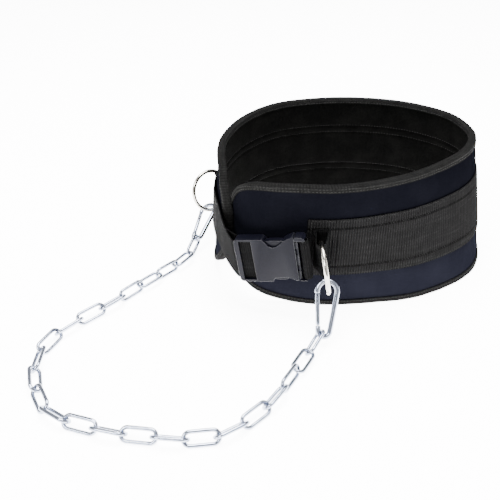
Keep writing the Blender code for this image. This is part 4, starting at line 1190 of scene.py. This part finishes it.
def makeHook(side):
    top, foot, taper, end, direction, hinge = hookForm()
    nose = hinge + direction * (hook["gateLength"] + hook["gap"])
    # a ring of corners at the nose, drawn along the limb, spun round both bends
    turned = direction.to_track_quat("Z", "Y").to_euler()
    piece = added("hook_" + side, bpy.ops.mesh.primitive_circle_add, vertices=hook["sides"],
                  radius=hook["wire"], fill_type="NGON", location=nose, rotation=turned)
    editAll(piece)
    extrudeBy(end - nose)
    bpy.ops.mesh.spin(steps=hook["topSteps"], angle=math.pi + 2 * taper, center=top, axis=(0, 0, 1))
    length = (end - (hinge - direction * hook["gateStart"])).length
    downRight = Matrix.Scale(-1, 3, (1, 0, 0)) @ (-direction)
    for share in hook["limbShares"]:
        extrudeBy(downRight * length * share)
    bpy.ops.mesh.spin(steps=hook["footSteps"], angle=math.pi - 2 * taper, center=foot, axis=(0, 0, 1))
    extrudeBy(direction * (hook["gateStart"] - hook["gateWire"] - hook["gap"]))
    bpy.ops.mesh.select_all(action="SELECT")
    bpy.ops.mesh.remove_doubles(threshold=hook["weld"])
    turnOutwards()
    rounded(piece, hook["edge"], 2, 60)
    place(piece, hookMatrix(side))
    smoothBy(piece, 45)
    dress(piece, "belt", "bright_zinc", zinc, "carabiner_" + side)
    return piece


def makeGate(side):
    direction, hinge = hookForm()[-2:]
    wire = hook["gateWire"]
    turned = direction.to_track_quat("Z", "Y").to_euler()
    middle = hinge + direction * hook["gateLength"] / 2
    piece = added("sprung_gate_" + side, bpy.ops.mesh.primitive_cylinder_add, vertices=hook["sides"],
                  radius=wire, depth=hook["gateLength"] + wire, location=middle - direction * wire / 2,
                  rotation=turned)

    def atHinge(*ends):
        return all((spot - hinge).dot(direction) < -hook["hingeShare"] * wire for spot in ends)

    # round at the hinge, so that it clears the body as it swings
    selectWhere(piece, atHinge, "EDGE")
    bpy.ops.mesh.bevel(offset=hook["hingeRound"], segments=6)
    leaveEdit()
    rounded(piece, hook["gateEdge"], 3, 60)
    # slot at the free end, where the nose's pin lies
    tip = hinge + direction * (hook["gateLength"] - hook["slotBack"])
    cutWith(piece, added("slot", bpy.ops.mesh.primitive_cube_add, size=1, location=tip, rotation=turned,
                         scale=hook["slot"]))
    # rivet through the hinge
    rivet = added("rivet", bpy.ops.mesh.primitive_cylinder_add, vertices=16, radius=hook["rivet"],
                  depth=2 * (wire + hook["rivetProud"]), location=hinge)
    rounded(rivet, hook["rivetEdge"], 2, 60)
    pick(piece)
    rivet.select_set(True)
    bpy.ops.object.join()
    place(piece, hookMatrix(side))
    smoothBy(piece, 45)
    return dress(piece, "gate_" + side, "bright_zinc", zinc, "gate_" + side)


for side in ("left", "right"):
    makeHook(side)
    makeGate(side)
print("hooks and gates made")


# Chain: one link, and a copy of it where each link of the frame lies

chain = {"wire": 0.0020, "width": 0.0170, "bendSteps": 40, "wireSteps": 14, "cuts": 3}


def linkSpan(name):
    corners = cornersOf(nodes[name])
    middle = corners.mean(axis=0)
    axes = np.linalg.svd(corners - middle, full_matrices=False)[2]
    reach = (corners - middle) @ axes.T
    middle = middle + axes.T @ ((reach.min(axis=0) + reach.max(axis=0)) / 2)
    return middle, axes, reach.max(axis=0) - reach.min(axis=0)


def makeLink(length):
    bend = chain["width"] / 2 - chain["wire"]
    straight = length / 2 - chain["wire"] - bend
    piece = added("link", bpy.ops.mesh.primitive_torus_add, major_radius=bend, minor_radius=chain["wire"],
                  major_segments=chain["bendSteps"], minor_segments=chain["wireSteps"])
    for way in (1, -1):
        selectWhere(piece, lambda corner: corner.x * way > 0.00001)
        bpy.ops.transform.translate(value=(way * straight, 0, 0))
        leaveEdit()
    # rings of corners along both limbs
    selectWhere(piece, lambda a, b: abs(a.x - b.x) > straight / 2, "EDGE")
    bpy.ops.mesh.subdivide(number_cuts=chain["cuts"])
    leaveEdit()
    return piece


def makeChain():
    names = sorted(name for name in nodes if name.startswith("link_"))
    first = makeLink(float(linkSpan(names[0])[2][0]))
    mesh = first.data
    for name in names:
        middle, axes, size = linkSpan(name)
        piece = bpy.data.objects.new("chain_" + name, mesh.copy())
        bpy.context.scene.collection.objects.link(piece)
        place(piece, axesMatrix(Vector(middle), Vector(axes[0]), Vector(axes[1])))
        pick(piece)
        bpy.ops.object.shade_smooth()
        dress(piece, "belt", "bright_zinc", zinc, name)
    bpy.data.objects.remove(first)


makeChain()
print("chain made")


# Side release buckle, in its own frame: x to the right, y to the back, z up

# each row is a distance to the right, and how far inside the buckle's upper or lower edge it lies
upperNotch = ((-0.0016, 0), (0.0012, 0.0035), (0.0040, 0.0078), (0.0070, 0.0098), (0.0105, 0.0102),
              (0.0140, 0.0090), (0.0185, 0.0058), (0.0228, 0.0020), (0.0262, -0.0002))
lowerNotch = ((0.0240, 0.0058), (0.0205, 0.0062), (0.0080, 0.0056), (0.0060, 0.0035), (0.0045, 0))
upperPad = ((-0.0009, 0.0125), (-0.0009, 0.0056), (0.0012, 0.0036), (0.0050, 0.0028),
            (0.0120, 0.0026), (0.0190, 0.0028), (0.0235, 0.0036), (0.0235, 0.0125))
lowerPad = ((0.0030, 0.0125), (0.0030, 0.0060), (0.0055, 0.0026), (0.0085, 0.0014),
            (0.0190, 0.0014), (0.0215, 0.0028), (0.0225, 0.0060), (0.0225, 0.0125))

def paintEdgeHighlights(piece, width):
    # the rounded edges get a lighter colour than the grained faces, a painted highlight, on a shinier surface
    piece.data.materials.clear()
    piece.data.materials.append(buckleNylon)
    piece.data.materials.append(rimHighlightNylon)
    for face in piece.data.polygons:
        face.material_index = 0
    rounded(piece, width, 3, 50, 1)


def makeSocket():
    half = buckle["height"] / 2
    front = -buckle["depth"] / 2
    back = buckle["depth"] / 2
    slotHalf = strap["width"] / 2 + buckle["slotSide"]
    outerBar = front + buckle["outerBar"]
    barFront = outerBar + 2 * buckle["gap"] + strap["thickness"]
    barLeft = buckle["slotRight"] - buckle["bar"]
    turnRight = buckle["slotRight"] + buckle["turnRoom"]
    left = buckle["socketLeft"]
    right = buckle["socketRight"]
    rise = buckle["mouthRise"]
    # notched above and below for the release arms, and flared at its mouth
    outline = [(left, half)] + [(x, half - inset) for x, inset in upperNotch]
    outline += [(right - 0.0015, half + rise), (right, half + rise - 0.0012),
                (right, 0.0030 - half), (right - 0.0016, 0.0018 - half)]
    outline += [(x, inset - half) for x, inset in lowerNotch] + [(left, -half)]
    piece = prism(outline, front, back)

    def atLeft(a, b):
        return max(a.x, b.x) < left + buckle["overlap"] and abs(a.y - b.y) > buckle["depth"] / 2

    selectWhere(piece, atLeft, "EDGE")
    bpy.ops.mesh.bevel(offset=buckle["cornerRound"], segments=6)
    leaveEdit()
    slotLeft, slotRight = buckle["slotLeft"], buckle["slotRight"]
    past = buckle["past"]
    over = barLeft - buckle["overlap"]
    cuts = (((slotLeft, front - past, -slotHalf), (slotRight, barFront, slotHalf)),
            ((left - past, outerBar, -slotHalf), (barLeft, back + past, slotHalf)),
            ((over, barFront + buckle["barDepth"], -slotHalf), (turnRight, back + past, slotHalf)),
            ((slotRight - buckle["gap"], front + buckle["entry"], -slotHalf),
             (turnRight, back + past, slotHalf)),
            ((buckle["hollowFrom"], front + buckle["wall"], buckle["rim"] - half),
             (right + past, back - buckle["wall"], half - buckle["rim"])))
    for low, high in cuts:
        cutWith(piece, block(low, high))
    paintEdgeHighlights(piece, buckle["edge"])
    place(piece, buckleFrame)
    smoothBy(piece, 35)
    return dress(piece, "belt", "buckle_plastic", None, "buckle_socket")


def makePlug():
    half = buckle["height"] / 2
    deep = buckle["depth"] / 2
    thick = deep - buckle["wall"] - buckle["gap"]
    slotHalf = strap["width"] / 2 + buckle["slotSide"]
    left = buckle["socketRight"] + buckle["gap"]
    right = buckle["plugRight"]
    barLeft = right - buckle["plugBar"]
    slotLeft = barLeft - buckle["plugSlot"]
    rise = buckle["mouthRise"]
    outline = [(left, half + rise - 0.0012), (left + 0.0015, half + rise),
               (right - 0.0030, half + rise - 0.0004), (right, half + rise - 0.0030),
               (right, 0.0040 - half), (right - 0.0030, 0.0018 - half),
               (left + 0.0015, 0.0018 - half), (left, 0.0030 - half)]
    piece = prism(outline, -deep, deep)
    past = buckle["past"]
    deepCut = buckle["through"]
    over = buckle["overlap"]
    barDeep = buckle["plugBarDepth"] / 2
    shoulder = buckle["shoulderBack"] - deep
    cuts = (((left - past, -deepCut, -slotHalf), (slotLeft + over, shoulder, slotHalf)),
            ((slotLeft, -deepCut, -slotHalf), (barLeft, deepCut, slotHalf)),
            ((barLeft - over, -deepCut, -slotHalf), (right + past, -barDeep, slotHalf)),
            ((barLeft - over, barDeep, -slotHalf), (right + past, deepCut, slotHalf)))
    for low, high in cuts:
        cutWith(piece, block(low, high))
    # the guide in the middle, and the release arms with their pads
    end = left + buckle["armEnd"]
    guide = buckle["guideHalf"]
    cutWith(piece, block((buckle["guideFrom"], -thick, -guide), (end, thick, guide)), "UNION")
    for flip, pad in ((1, upperPad), (-1, lowerPad)):
        low, high = sorted(flip * (half - inset) for inset in buckle["arm"])
        cutWith(piece, block((buckle["armFrom"], -thick, low), (end, thick, high)), "UNION")
        cutWith(piece, prism([(x, flip * (half - inset)) for x, inset in pad], -thick, thick), "UNION")
    paintEdgeHighlights(piece, buckle["plugEdge"])
    place(piece, buckleFrame)
    smoothBy(piece, 35)
    return dress(piece, "belt", "buckle_plastic", None, "buckle_plug")


makeSocket()
makePlug()
print("buckle made")


# Floor, light and camera

studio = {
    "floor": (0.90, 0.90, 0.90), "floorSize": 14, "floorMiddle": (0, 2, -0.0004), "floorGlow": 9.5,
    "white": (1, 1, 1, 1), "world": 0.9, "aim": (0, 0, 0.05), "sensor": 36,
    "lights": (("key", (-1.3, -1.5, 1.9), 1.0, 105), ("side", (1.9, -1.1, 1.2), 1.2, 10),
               ("top", (0.1, 0.3, 2.2), 1.4, 240)),
    "camera": (-0.042707, -0.610207, 0.458), "pitch": 33.5, "lens": 43.2,
}


def makeStudio():
    floor = added("floor", bpy.ops.mesh.primitive_plane_add, size=studio["floorSize"],
                  location=studio["floorMiddle"])
    look = dict(plasticLook, colour=studio["floor"], shade=studio["floor"], grain=0.01, patchSize=0.5,
                rough=0.9, specular=0.2, bump=0.02)
    paint = hardMaterial("paleFloor", look)
    shader = paint.node_tree.nodes["Principled BSDF"]
    shader.inputs["Emission Color"].default_value = studio["white"]
    shader.inputs["Emission Strength"].default_value = studio["floorGlow"]
    floor.data.materials.append(paint)
    world = bpy.data.worlds.new("studio")
    bpy.context.scene.world = world
    world.use_nodes = True
    background = world.node_tree.nodes["Background"]
    background.inputs[0].default_value = studio["white"]
    background.inputs[1].default_value = studio["world"]
    for name, spot, size, power in studio["lights"]:
        bpy.ops.object.light_add(type="AREA", location=spot)
        light = bpy.context.object
        light.name = name
        light.data.size = size
        light.data.energy = power
        aim = Vector(studio["aim"]) - Vector(spot)
        light.rotation_euler = aim.to_track_quat("-Z", "Y").to_euler()
    tilt = math.radians(90 - studio["pitch"])
    bpy.ops.object.camera_add(location=studio["camera"], rotation=(tilt, 0, 0))
    camera = bpy.context.object
    camera.data.lens = studio["lens"]
    camera.data.sensor_width = studio["sensor"]
    bpy.context.scene.camera = camera


makeStudio()
print("studio ready")
